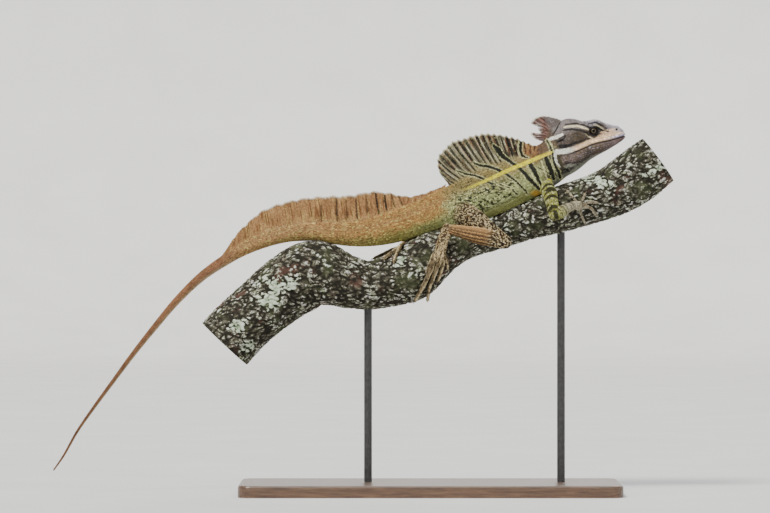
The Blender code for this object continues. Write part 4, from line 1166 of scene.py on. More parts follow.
def eyeMaterial():
    material, place = newMaterial("eyeball", Roughness=0.1, Specular_IOR_Level=0.14)
    rays = place.stretch((1.0, 0.2, 1.0)).grain(1400.0, 4.0)
    iris = place.read("iris").ramp(
        (0.0, (0.001, 0.001, 0.001)), (0.29, (0.001, 0.001, 0.001)), (0.32, (0.12, 0.10, 0.065)),
        (0.36, (0.17, 0.15, 0.10)), (0.41, (0.05, 0.034, 0.02)), (0.58, (0.026, 0.016, 0.01)),
        (0.66, (0.008, 0.005, 0.004)), (0.9, (0.003, 0.002, 0.002)))
    return dress(material, Base_Color=iris.blend((0.008, 0.005, 0.003, 1.0), (rays - 0.45).step(0.0, 0.25) * 0.5))


def clawMaterial():
    material, place = newMaterial("clawHorn", Specular_IOR_Level=0.55)
    grain = place.stretch((1.0, 1.0, 0.3)).grain(1100.0)
    horn = place.read("toTip").ramp(
        (0.0, (0.26, 0.19, 0.11)), (0.45, (0.10, 0.065, 0.035)), (1.0, (0.02, 0.014, 0.01)))
    return dress(
        material,
        Base_Color=horn.blend((0.35, 0.28, 0.18, 1.0), (grain - 0.5).step(0.0, 0.3) * 0.3),
        Roughness=grain * 0.2 + 0.22)


def barkMaterial():
    material, place = newMaterial("lichenBark", Specular_IOR_Level=0.18)
    height, lichen, cut, rings = (place.read(name) for name in ("ridge", "lichen", "cutEnd", "ringShare"))
    fine, tiny, broad = place.grain(420.0, 5.0, 0.7), place.grain(1500.0, 4.0, 0.7), place.grain(45.0)
    # Darker down in the fissures, by the ridges' height: partly the bark's own colour, partly painted shade
    bark = (height * 0.55 + fine * 0.6 - 0.20).ramp(
        (0.0, (0.004, 0.0035, 0.003)), (0.38, (0.022, 0.020, 0.014)), (0.56, (0.088, 0.080, 0.056)),
        (0.78, (0.24, 0.23, 0.17)))
    mossy = bark.blend((0.085, 0.100, 0.045, 1.0), (broad - 0.52).step(0.0, 0.12) * (fine * 0.6 + 0.4) * 0.6)
    reddish = mossy.blend((0.16, 0.07, 0.05, 1.0), (0.40 - broad).step(0.0, 0.08) * fine * 0.7)
    flecks = (fine * 0.45 + tiny * 0.45 + height * 0.42 + place.grain(70.0) * 0.35 - 0.995).step(0.0, 0.06)
    fleck = place.grain(160.0).ramp((0.35, (0.36, 0.40, 0.24)), (0.5, (0.58, 0.60, 0.50)), (0.65, (0.80, 0.80, 0.76)))
    # The lichen crust is darker down in the fissures too: partly its own colour, partly painted shade
    crust = (tiny * 0.4 + fine * 0.35 + height * 0.45 - 0.17).ramp(
        (0.25, (0.13, 0.17, 0.10)), (0.45, (0.38, 0.46, 0.31)), (0.7, (0.76, 0.82, 0.70)))
    patches = (lichen + (fine - 0.5) * 0.5 + (height - 0.75) * 0.35).step(0.46, 0.54)
    waves = rings.sum("SINE", rings * 75.0 + broad * 9.0 + fine * 0.7, 0.0)
    wood = (waves * 0.28 + rings * 0.3 + fine * 0.35).ramp(
        (0.0, (0.10, 0.055, 0.028)), (0.5, (0.27, 0.18, 0.10)), (1.0, (0.38, 0.27, 0.17)))
    return dress(
        material,
        Base_Color=reddish.blend(fleck, flecks * 0.95).blend(crust, patches * 0.9).blend(wood, cut),
        Roughness=fine * 0.2 + 0.78,
        Normal=(fine * 0.6 + tiny * 0.4).relief(1.1 * mm, 0.9))


def woodMaterial():
    material, place = newMaterial("standWood", Coat_Roughness=0.25)
    grain = place.stretch((5.0, 60.0, 60.0)).grain(9.0, 6.0, 0.6)
    pores = place.stretch((20.0, 500.0, 500.0)).grain(5.0, 2.0)
    colour = grain.ramp((0.3, (0.045, 0.022, 0.011)), (0.5, (0.095, 0.048, 0.024)), (0.68, (0.15, 0.082, 0.042)))
    return dress(
        material,
        Base_Color=colour.blend((0.02, 0.01, 0.006, 1.0), (pores - 0.6).step(0.0, 0.1) * 0.6),
        Roughness=grain * 0.2 + 0.36,
        Coat_Weight=pores * 0.1 + 0.35,
        Normal=(grain * 0.6 + pores * 0.4).relief(0.15 * mm, 0.4))


def rodMaterial():
    material, place = newMaterial("rodPaint", Coat_Roughness=0.3)
    dust = place.grain(260.0, 3.0)
    fine = place.stretch((1.0, 1.0, 0.05)).grain(2600.0)
    return dress(
        material,
        Base_Color=dust.ramp((0.3, (0.018, 0.018, 0.019)), (0.7, (0.042, 0.041, 0.040))),
        Roughness=dust * 0.15 + fine * 0.05 + 0.32,
        Normal=fine.relief(0.02 * mm, 0.3))


def floorMaterial():
    material, place = newMaterial("paleFloor")
    soft = place.grain(6.0, 2.0)
    return dress(material, Base_Color=soft.ramp((0.3, (0.73, 0.73, 0.72)), (0.7, (0.78, 0.78, 0.77))),
                 Roughness=soft * 0.1 + 0.75)


# Fins

def paintBackSail(points, onRay, v, u, reach, ragged, ray):
    x = points[:, 0]
    fine, streak, broad = noise(points, 1.4, 51), streaks(u * 120, v * 2.2, 53), streaks(u * 46, v * 1.5, 54)
    beside = np.exp(-((u * (fins["backSail"]["rays"] - 1) - ray - 0.22) / 0.16) ** 2)
    start = 0.06 + 0.16 * ragged
    nape = painted(hues["nape"], (lit("crestDark", 0.7), smooth(0.12, 0.55, onRay) * 0.85),
                   ("orange", smooth(0.5, 0.7, streak) * 0.6))
    colour = painted(
        hues["web"],
        ("webPale", smooth(0.45, 0.7, streak)),
        (lit("webRust", 0.8), smooth(0.46, 0.34, broad) * smooth(0.15, 0.5, v) * 0.7),
        ("khaki", smooth(0.42, 0.1, v) * 0.8),
        (lit("headDark", 0.8), smooth(50, 84, x) * smooth(0.66, 0.5, streak) * smooth(0.12, 0.35, v) * 0.9),
        (lit("headDark", 0.7), smooth(0.46, 0.36, streak) * smooth(0.15, 0.4, v) * 0.75),
        ("rust", beside * smooth(0.25, 0.5, v) * smooth(0.2, 0.6, ragged) * 0.8),
        ("black", smooth(0.04, 0.3, onRay) * smooth(start, start + 0.1, v) * (0.84 + 0.15 * ragged)),
        (nape, smooth(84, 96, x) * 0.9),
        ("webPale", smooth(0.93, 0.995, v / reach) * 0.85),
        ("spot", smooth(0.6, 0.75, fine) * 0.2))
    return paintLines(colour, points)


# The dark streaks of the tail sail: how strong each is, and its line
tailStreaks = [(strength, fromPhoto(line)) for strength, line in (
    (0.85, ((336, 197), (337, 214), (338.5, 225))), (0.85, ((356, 199), (357, 214), (358.5, 226))),
    (0.65, ((321, 205), (322, 222))), (0.97, ((375.5, 192), (377.5, 206), (379.5, 219))),
    (0.97, ((383.5, 192), (386, 206), (388, 217))), (0.65, ((391, 194), (394.5, 206))),
    (0.65, ((398.5, 196), (401.5, 203), (405, 210))), (0.65, ((346, 200), (347, 220))),
    (0.65, ((366, 196), (367.5, 212))))]


def paintTailSail(points, onRay, v, u, reach, ragged, ray):
    x, z = points[:, 0], points[:, 2]
    fine, grit, patch = noise(points, 1.5, 61), noise(points, 1.0, 64), cloudy(points, 12, 62)
    streak, wobble = streaks(u * 230, v * 1.4, 63), (fine - 0.5) * 1.2
    widths = (0.7, 1.1, 0.5)
    colour = painted(
        hues["sailTail"],
        ("tan", smooth(0.4, 0.7, patch)),
        (hues["spot"] * np.array((1.0, 0.85, 0.5)), smooth(0.55, 0.75, streak) * 0.2),
        ("sailTailDark", smooth(0.46, 0.28, streak) * smooth(0.12, 0.4, v) * 0.8),
        *[(lit("black", 1.6), stripeMask(x + wobble, z, (line, widths[:len(line)]), 0.5) * strength)
          for strength, line in tailStreaks],
        (hues["spot"] * np.array((1.0, 0.9, 0.5)), smooth(0.58, 0.72, fine) * smooth(0.4, 0.1, v) * 0.5),
        ("sailTailDark", smooth(0.42, 0.3, grit) * 0.4),
        ("rim", smooth(0.90, 0.985, v / reach + (fine - 0.5) * 0.06) * 0.9))
    return lit(colour, 0.86 + 0.28 * patch)


def paintCrest(points, onRay, v, u, reach, ragged, ray):
    along, up, out = headPlace(points)
    fine, streak = noise(points, 1.2, 71), streaks(u * 34, v * 2.4, 73)
    notch = bump(np.hypot(along + 11.5, (up - 29.5) * 0.9), 0, 4.2)
    return painted(
        hues["crest"],
        ("crestDark", smooth(0.52, 0.36, streak) * 0.9),
        # Painted highlight: lilac streaks over the crest's upper part
        ("snout", smooth(0.56, 0.68, streak) * smooth(0.3, 0.6, v) * 0.7),
        (lit("crestDark", 0.4), smooth(0.06, 0.5, onRay) * smooth(0.15, 0.45, v) * 0.8),
        (lit("crestGrey", 0.8), smooth(-3, 4, along) * 0.8),
        ("white", smooth(0.88, 0.97, v / reach) * 0.9),
        ("white", notch * smooth(0.42, 0.56, fine) * 0.95),
        ("black", notch * smooth(0.42, 0.3, fine) * 0.8),
        ("snout", smooth(0.62, 0.78, fine) * 0.3))


# Scales: small closed plates with a keel, laid over the skin in rows that run from the head to the tail

scaleForm = {
    # Along the lie, across it and up, in shares of a scale's length, width and rise
    "rim": ((-0.55, 0.0, -0.5), (-0.22, 0.48, -0.25), (0.28, 0.42, -0.1), (0.62, 0.0, 0.35),
            (0.28, -0.42, -0.1), (-0.22, -0.48, -0.25)),
    "keel": ((-0.24, 0.72), (0.30, 1.0)),
    "faces": ((0, 6, 5), (5, 6, 7), (5, 7, 4), (4, 7, 3), (3, 7, 2), (2, 7, 1), (1, 7, 6), (1, 6, 0),
              (0, 5, 1), (1, 5, 4), (1, 4, 2), (2, 4, 3)),
    "patch": 0.003,  # a scale's length on its bake map
    "shades": (0.62, 1.34),
    "sizes": (0.92, 1.08),
    "cover": (1.5, 1.08),  # a scale's length and width over the spacing
    "stray": (0.07, 0.05),  # how far it strays round its row and along it
    "thickest": 2.2,  # the length over which a scale rises no more
    "limbs": {"Thigh": 1.15, "Shin": 1.15, "UpperArm": 1.05, "Forearm": 0.9, "Foot": 0.9, "Hand": 0.9},
}


class Surface:
    # The finished skin, to which scales are fitted
    def __init__(self, mesh, found):
        self.points, self.normals = readPoints(mesh), readNormals(mesh)
        self.which, self.isHead = found[1], found[4]
        starts = np.empty(len(mesh.polygons), np.int32)
        mesh.polygons.foreach_get("loop_start", starts)
        corners = np.empty(len(mesh.loops), np.int32)
        mesh.loops.foreach_get("vertex_index", corners)
        self.corner = corners[starts]
        self.tree = BVHTree.FromPolygons(self.points.tolist(), [tuple(f.vertices) for f in mesh.polygons])

    def snap(self, points, limit=2.0):
        hits, index = np.zeros_like(points), np.full(len(points), -1)
        for k, point in enumerate(points.tolist()):
            place, normal, face, gap = self.tree.find_nearest(point, limit)
            if place is not None:
                hits[k], index[k] = place, self.corner[face]
        return hits, self.normals[index], index


def carry(obj, material):
    obj.data.materials.append(material)
    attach(obj, "root")
    return obj


def scaleMesh(name, found, colours=None):
    roots, normals, lies, lengths, widths, rises, patches = found
    count = len(roots)
    lies = unit(lies - normals * (lies * normals).sum(-1, keepdims=True))
    form = np.array([*scaleForm["rim"], *[(a, 0.0, h) for a, h in scaleForm["keel"]]])
    axes = np.stack([lies, np.cross(normals, lies), normals], 1)
    corners = roots[:, None] + (form * np.stack([lengths, widths, rises], -1)[:, None]) @ axes
    starts = np.arange(count) * len(form)
    triangles = (np.array(scaleForm["faces"]) + starts[:, None, None]).reshape(-1, 3)
    if colours is None:
        colours = paintSkin(roots, regions(roots))
    colours = np.repeat(colours * dice.uniform(*scaleForm["shades"], (count, 1)), len(form), axis=0)
    spread = patches[:, None] + form[:, :2] * scaleForm["patch"]
    obj = addTriangles(name, corners.reshape(-1, 3), triangles, colours, spread.reshape(-1, 2))
    print(name, count, "scales", len(triangles), "triangles")
    return carry(obj, looks["scale"])


def tubeLattice(surface, owner, tube, first, last, spacing, rise, cell, domes=True):
    # Rows across the tube, each half a scale round from the one before it
    rows = []  # how far along, the share of the ring's size, the way beyond it, and the two spacings
    t = first
    while t < last:
        rows.append((t, 1.0, 0.0, *spacing(t)))
        t += spacing(t)[0]
    if domes:
        for t, way in ((0.0, -1), (tube.length, 1)):
            middle, tall, wide = tube.sizes(t)
            radius, (long, across) = (tall + wide) / 2, spacing(t)
            for turn in np.arange(long / radius, 1.45, long / radius):
                rows.append((t, math.cos(turn), way * radius * math.sin(turn), long, across))
    points, stops, turns, steps = [], [], [], []
    strayRound, strayAlong = scaleForm["stray"]
    for row, (t, share, beyond, long, across) in enumerate(rows):
        middle, tall, wide = tube.sizes(t)
        around = 2 * math.pi * math.sqrt((tall ** 2 + wide ** 2) / 2) * share
        count = max(6, int(round(around / across)))
        phi = (np.arange(count) + 0.5 * (row % 2) + dice.normal(0, strayRound, count)) / count * 2 * np.pi
        stop = np.clip(t + dice.normal(0, strayAlong, count) * long, 0, tube.length)
        points.append(middle + (tube.point(stop, phi) - middle) * share + tube.rail.tangent(t) * beyond)
        stops.append(stop)
        turns.append(phi)
        steps.append(np.tile([long, around / count], (count, 1)))
    points, stops, turns, steps = (np.concatenate(a) for a in (points, stops, turns, steps))
    roots, normals, index = surface.snap(points)
    keep = (index >= 0) & (surface.which[index] == owner) & ~surface.isHead[index]
    lies = tube.rail.tangent(stops)
    u = np.clip((stops - first) / (last - first), 0, 1)
    v = (turns / (2 * np.pi)) % 1.0
    place = np.stack([cell[0] + (0.01 + 0.98 * u) * cell[2], cell[1] + (0.01 + 0.98 * v) * cell[3]], -1)
    size = dice.uniform(*scaleForm["sizes"], len(stops))
    lengths, widths = (steps * scaleForm["cover"] * size[:, None]).T
    rises = rise * np.minimum(lengths, scaleForm["thickest"])
    return [a[keep] for a in (roots, normals, lies, lengths, widths, rises, place)]


def joined(parts):
    return [np.concatenate(columns) for columns in zip(*parts)]


def buildBodyScales(surface):
    neck, rump = 0.2, bodyRail.knot(8.5)
    trunk = tubeLattice(surface, 0, bodyTube, neck, rump,
                        lambda t: (1.15, 1.2) if t > 20 else (0.95, 1.0), 0.26, (0, 0, 1, 1), False)
    scaleMesh("trunkScales", trunk)
    tail = tubeLattice(surface, 0, bodyTube, rump, bodyRail.length - 1,
                       lambda t: (max(1.0, 1.5 - 0.0012 * (t - rump)), max(0.7, 1.35 - 0.002 * (t - rump))),
                       0.28, (0, 0, 1, 1), False)
    scaleMesh("tailScales", tail)


def cellOf(k, wide, tall):  # one cell of a bake map that many parts share
    return (k % wide) / wide, (k // wide) / tall, 1 / wide, 1 / tall


def buildLimbScales(surface):
    parts = []
    for k, (name, tube) in enumerate(tubes.items()):
        long = scaleForm["limbs"][kindOf(name)]
        parts.append(tubeLattice(surface, k + 1, tube, 0.0, tube.length, lambda t: (long, long * 1.05),
                                 0.26, cellOf(k, 4, 3)))
    scaleMesh("limbScales", joined(parts))
    parts = [tubeLattice(surface, k + 1 + len(tubes), tube, 0.0, tube.length, lambda t: (1.15, 1.25),
                         0.25, cellOf(k, 5, 4)) for k, tube in enumerate(toes.values())]
    scaleMesh("toeScales", joined(parts))


# The head's shields: cells round scattered seeds, each with a groove about it and a domed top

shieldForm = {
    "groove": 0.10,  # from a shield's rim to the line half way to its neighbour
    "shoulder": 0.70,  # the top's ring, as a share of the rim
    "rise": 0.30,
    "sink": 0.14,
    "shades": (0.68, 1.28),
    "lips": 1.95,  # from the mouth line to the middles of the lips' large shields
    "lipGap": 0.42,  # from the mouth line to any rim
    "lipStep": 4.3,
    "lipSize": 3.3,
    "widest": 3.4,
}


def shieldSize(along, up):
    eyeGap = headGap(along, up, "eye")
    size = np.full(len(along), 1.15)
    for value, where in (
            (1.5, along > 44), (1.6, (up > 14) & (along > 30)),
            (1.05, (along > 10) & (along < 34) & (up > 0) & (up < 18)),
            (0.92, up < -8 - along * 0.02), (1.0, eyeGap < 9), (0.72, eyeGap < 6.4)):
        size[where] = value
    return size


def shieldSeeds(surface):
    index = np.nonzero(surface.isHead)[0]
    along, up, out = headPlace(surface.points[index])
    lip = lipLine(along)
    eyeRing, hole = headGap(along, up, "eye", *head["lids"]), headGap(along, up, "nostril")
    blade = (np.abs(out) < 3.2) & (up > 24) & (along < 14)
    free = (eyeRing > 1.13) & (hole > 1.9) & ~blade
    free &= ~((np.abs(up - lip) < 0.75) & (along > head["mouthCorner"] - 1))
    index, along, up, lip = (a[free] for a in (index, along, up, lip))
    size = shieldSize(along, up)
    rank = dice.random(len(index)) + 10.0
    # The lips' row of large shields is laid first
    beat = np.abs((along - 18) / shieldForm["lipStep"] % 1 - 0.5)
    inRow = (along > head["mouthCorner"] + 2) & (along < 69.5) & (np.abs(np.abs(up - lip) - shieldForm["lips"]) < 0.3)
    inRow &= beat < 0.06
    rank[inRow], size[inRow] = beat[inRow], shieldForm["lipSize"]
    points = surface.points[index]
    keys = np.floor(points / shieldForm["widest"]).astype(int)
    around = [(a, b, c) for a in (-1, 0, 1) for b in (-1, 0, 1) for c in (-1, 0, 1)]
    grid, chosen = {}, []
    for k in np.argsort(rank):
        (a, b, c), place, reach = keys[k].tolist(), points[k].tolist(), size[k]
        if all(math.dist(place, other) >= (reach + far) * 0.5
               for da, db, dc in around for other, far in grid.get((a + da, b + db, c + dc), ())):
            grid.setdefault((a, b, c), []).append((place, reach))
            chosen.append(k)
    return index[chosen], size[chosen]


def clipped(polygon, place, way):
    # The part of a convex polygon that lies behind a line through place, across way
    kept = []
    for (ax, ay), (bx, by) in zip(polygon, polygon[1:] + polygon[:1]):
        da = (ax - place[0]) * way[0] + (ay - place[1]) * way[1]
        db = (bx - place[0]) * way[0] + (by - place[1]) * way[1]
        if da <= 0:
            kept.append((ax, ay))
        if da * db < 0:
            u = da / (da - db)
            kept.append((ax + (bx - ax) * u, ay + (by - ay) * u))
    return kept


def shieldRim(seeds, normals, size, k, over, tree):
    # A round plate about a seed, cut back from the mouth and from each neighbour: its rim, and the same laid flat
    back, upward = headPoint(0, 0, 0) - headPoint(1, 0, 0), headPoint(0, 1, 0) - headPoint(0, 0, 0)
    normal, reach = normals[k], size[k] * 0.85
    a = unit(back - normal * (back @ normal))
    b = np.cross(normal, a)
    polygon = [(reach * math.cos(q), reach * math.sin(q)) for q in circle(10)]
    if abs(over) < 4:
        way = np.array((upward @ a, upward @ b)) * (-1 if over > 0 else 1)
        polygon = clipped(polygon, way * (abs(over) - shieldForm["lipGap"]), way)
    for place, other, gap in tree.find_range(seeds[k].tolist(), (size[k] + shieldForm["widest"]) * 0.9):
        away = seeds[other] - seeds[k]
        flat = np.array((away @ a, away @ b))
        long = math.hypot(*flat)
        if other != k and normals[other] @ normal >= 0.1 and long >= 1e-3 and len(polygon) > 2:
            cut = long * size[k] / (size[k] + size[other]) - shieldForm["groove"]
            polygon = clipped(polygon, flat / long * cut, flat / long)
    if len(polygon) < 3:
        return None
    flat = np.array(polygon)
    return k, flat, seeds[k] + flat[:, :1] * a + flat[:, 1:] * b


def buildShields(surface):
    index, size = shieldSeeds(surface)
    seeds, normals = surface.points[index], surface.normals[index]
    tree = KDTree(len(seeds))
    for k, seed in enumerate(seeds.tolist()):
        tree.insert(seed, k)
    tree.balance()
    along, up, out = headPlace(seeds)
    over = np.where(along > head["mouthCorner"] - 1, up - lipLine(along), 9.0)
    plates = [shieldRim(seeds, normals, size, k, over[k], tree) for k in range(len(seeds))]
    plates = [plate for plate in plates if plate]
    rim, rimNormals, hit = surface.snap(np.concatenate([place for k, flat, place in plates]), 3.0)
    turn = np.arctan2(out, up) / (2 * np.pi) + 0.5
    patches = np.stack([0.02 + 0.96 * (along + 2) / 76, 0.02 + 0.96 * turn], -1)
    points, faces, spreads, who, start, offset = [], [], [], [], 0, 0
    for k, flat, place in plates:
        count, normal = len(flat), normals[k]
        edge, found = rim[start:start + count], hit[start:start + count] >= 0
        start += count
        if not found.all():
            continue
        rise = shieldForm["rise"] * min(size[k], 2.4) ** 0.8 * 0.62
        middle = edge.mean(0)
        shoulder = middle + (edge - middle) * shieldForm["shoulder"] + normal * rise * 0.72
        points += [edge - normal * shieldForm["sink"], shoulder, (middle + normal * rise)[None]]
        ring = np.arange(count)
        after = (ring + 1) % count
        faces += [np.stack(corners, -1) + offset for corners in (
            (ring, after, after + count), (ring, after + count, ring + count),
            (ring + count, after + count, 0 * ring + 2 * count))]
        spread = np.concatenate([flat, flat * shieldForm["shoulder"], flat.mean(0)[None]]) / size[k]
        spreads.append(patches[k] + spread * scaleForm["patch"])
        who += [k] * (2 * count + 1)
        offset += 2 * count + 1
    colours = paintSkin(seeds, regions(seeds)) * dice.uniform(*shieldForm["shades"], (len(seeds), 1))
    faces = np.concatenate(faces)
    obj = addTriangles("headShields", np.concatenate(points), faces, colours[who], np.concatenate(spreads))
    print("headShields", len(plates), "shields", len(faces), "triangles")
    carry(obj, looks["scale"])


def finQuads(columns, rows):  # of two sheets of points, back to back, and the strips round their edges
    grid = np.arange(columns * (rows + 1)).reshape(columns, rows + 1)
    a, b, c, d = grid[:-1, :-1], grid[1:, :-1], grid[1:, 1:], grid[:-1, 1:]
    quads = [np.stack([a, b, c, d], -1), np.stack([a, d, c, b], -1) + grid.size]
    for line, turned in ((grid[:, 0], True), (grid[:, -1], False), (grid[0], False), (grid[-1], True)):
        strip = np.stack([line[:-1], line[1:], line[1:] + grid.size, line[:-1] + grid.size], -1)
        quads.append(strip[:, ::-1] if turned else strip)
    return np.concatenate([q.reshape(-1, 4) for q in quads]).tolist()


def buildFin(name, paint):
    facts = fins[name]
    (perRay, rows), rays = fins["grid"], facts["rays"]
    columns = perRay * (rays - 1) + 1
    u = np.linspace(0, 1, columns)
    root, tip = finLines(name, u)
    way = tip - root
    length = np.linalg.norm(way, axis=1)
    phase = (np.arange(columns) % perRay) / perRay
    away = np.minimum(phase, 1 - phase)  # from the nearest ray
    onRay = np.exp(-(away / fins["rayWidth"]) ** 2)
    ray = np.minimum((np.arange(columns) + perRay // 2) // perRay, rays - 1)
    ragged = dice.random(rays)[ray]
    web = np.minimum(facts["web"], 0.3 + length * 0.08)
    wave = 1.3 * (1 - np.abs(np.cos(np.pi * u * facts["waves"])))
    dip = (away * 2) ** 0.8 * web * (0.7 + 0.6 * ragged) + np.minimum(wave, length * 0.1)
    torn = np.array([facts["tears"].get(int(k), 1.0) for k in ray])
    reach = (1 - dip / np.maximum(length, 2 * web)) * torn
    # From here each value has a row for each column of points
    bow = unit(np.stack([-way[:, 2], 0 * length, way[:, 0]], -1)) * (facts["lean"] * length)[:, None]
    root, way, bow = root[:, None], way[:, None], bow[:, None]
    u, length, onRay, reach, ragged, ray = (a[:, None] for a in (u, length, onRay, reach, ragged, ray))
    v = np.linspace(0, 1, rows + 1) * reach
    place = root + way * v[..., None] + bow * (4 * v * (1 - v))[..., None]
    sway = 0.35 * np.sin(u * rays * 0.9 + v * 3) * v + (1 - onRay) * 0.12 * np.sin(v * 40)
    half = (facts["thick"] * (1 - v) ** 1.3 + fins["edge"]) / 2 - 0.18 + fins["proud"] * onRay * (1 - 0.4 * v)
    half = half * smooth(1.03, 0.93, v / reach) + 0.12
    half = half + 0.10 * np.maximum(0, np.sin(v * length / 1.5 * 2 * np.pi)) * onRay
    sheets = np.stack([place, place])
    sheets[..., 1] += np.stack([half, -half]) + sway * 0.5
    points = sheets.reshape(-1, 3)
    obj = addMesh(name, points, finQuads(columns, rows))
    flat = [np.tile(np.broadcast_to(value, v.shape).ravel(), 2) for value in (onRay, v, u, reach, ragged, ray)]
    colours = paint(points, *flat)
    addColour(obj.data, "paint", colours)
    carry(obj, looks["fin"])
    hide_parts(facts["node"])
    buildFinScales(name, sheets, colours.reshape(sheets.shape), (length * reach)[:, 0] / rows)


def buildFinScales(name, sheets, colours, rowStep):
    # Small scales in lines beside the rays, on both faces
    across, long, rise = fins["scales"][name]
    parts, paints = [], []
    columns, rows = sheets.shape[1] - 1, sheets.shape[2] - 1
    for k, side in enumerate((1, -1)):
        lies, steps = unit(np.gradient(sheets[k], axis=1)), np.gradient(sheets[k], axis=0)
        widths = np.linalg.norm(steps, axis=-1) * across
        normals = np.cross(lies, unit(steps))
        normals *= (np.sign(normals[..., 1:2]) * side)
        for n, i in enumerate(range(across // 2, columns, across)):
            jump = max(1, int(round(long / rowStep[i])))
            j = np.arange(1 + (n % 2) * (jump // 2), rows - 1, jump)
            wide = np.clip(widths[i, j] * 1.05, 0.35, 1.9)
            length = np.full(len(j), min(long, jump * rowStep[i]) * 1.4)
            place = np.stack([0.01 + 0.48 * (k + i / columns) + 0.0 * j, 0.01 + 0.98 * j / rows], -1)
            parts.append([sheets[k][i, j], unit(normals[i, j]), lies[i, j], length, wide, length * rise, place])
            paints.append(colours[k][i, j])
    scaleMesh(name + "Scales", joined(parts), np.concatenate(paints))


def buildHide():
    print("stage: skin")
    skin = buildSkin()
    points = readPoints(skin.data)
    points = relax(skin.data, points, nearPlaces(points, ("Foot", "Hand"), 1.0, 11), 14)
    points = relax(skin.data, points, nearPlaces(points, ("Thigh", "UpperArm"), 0.1, 17), 14)
    writePoints(skin.data, drawTailThin(points))
    finerHead(skin)
    points, normals = readPoints(skin.data), readNormals(skin.data)
    points = sculptBody(points, normals, bodyTube.place(points)[1])
    points = sculptHead(points, normals)
    points = pushOffBark(points, skinWork["barkGap"])
    writePoints(skin.data, points)
    skin.data.shade_smooth()
    print("stage: skin paint", len(points))
    found = regions(points)
    # The skin under the scales is painted at six tenths of their colour: painted shade in the gaps between the scales
    addColour(skin.data, "paint", paintSkin(points, found) * 0.6)
    carry(skin, looks["hide"])
    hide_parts("head", "lower_jaw", "neck", "torso", "tail_base", "tail_middle", "tail_rear", "tail_tip",
                *[f"{side}_{part}" for side in ("right", "left")
                  for part in ("thigh", "shin", "foot", "upper_arm", "forearm", "hand")])
    print("stage: scales")
    surface = Surface(skin.data, found)
    buildBodyScales(surface)
    buildLimbScales(surface)
    buildShields(surface)


def buildEyes():
    bm = bmesh.new()
    bmesh.ops.create_uvsphere(bm, u_segments=64, v_segments=40, radius=1.0)
    ball, faces = np.array([v.co for v in bm.verts]), [[v.index for v in f.verts] for f in bm.faces]
    bm.free()
    out = np.arccos(np.clip(ball[:, 2], -1, 1))  # from the middle of the pupil
    radius = head["eyeRadius"] - 0.15 + 0.45 * np.exp(-(out / 0.55) ** 2)
    for side, name, node in ((-1, "eyeRight", "eye_right"), (1, "eyeLeft", "eye_left")):
        centre = headPoint(*head["eye"], side * head["eyeOut"])
        points = ball[:, (0, 2, 1)] * (1, side, 1) * radius[:, None]
        obj = addMesh(name, centre + points, faces if side < 0 else [f[::-1] for f in faces])
        addNumber(obj.data, "iris", np.clip(out, 0, 1))
        carry(obj, looks["eye"])
        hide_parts(node)


def buildClaws():
    parts, stops, phi = [], np.linspace(0, 1, 14), circle(14)
    for name, tube in toes.items():
        rail = tube.rail
        end, way = rail.at(rail.length), rail.tangent(rail.length)
        away = unit(np.array((0.0, end[1], abs(end[1]) / 3)))
        long, thick = digits["claw"][kindOf(name)], end[3] * 0.62
        oval = np.outer(1.15 * np.cos(phi), away) + np.outer(0.8 * np.sin(phi), np.cross(way, away))
        parts.append(loft([
            end[:3] + way * (u * long + 0.3) + away * (1.1 * math.sin(u * math.pi * 0.9) - 0.35 * u)
            + oval * (thick * (1 - u) ** 0.75 + 0.06) for u in stops]))
    obj = addMesh("claws", *joinLofts(parts))
    bm = bmesh.new()
    bm.from_mesh(obj.data)
    bmesh.ops.recalc_face_normals(bm, faces=bm.faces)
    bm.to_mesh(obj.data)
    bm.free()
    addNumber(obj.data, "toTip", np.tile(np.repeat(stops, len(phi)), len(toes)))
    carry(obj, looks["claw"])


# The pale patches of lichen: their middles and sizes
branchPatches = list(zip(
    fromPhoto(((597, 181), (586, 178), (402, 262), (280, 286), (268, 300), (490, 226), (238, 326), (250, 344),
               (660, 166))),
    (7, 5, 8, 13, 12, 7, 10, 8, 8)))


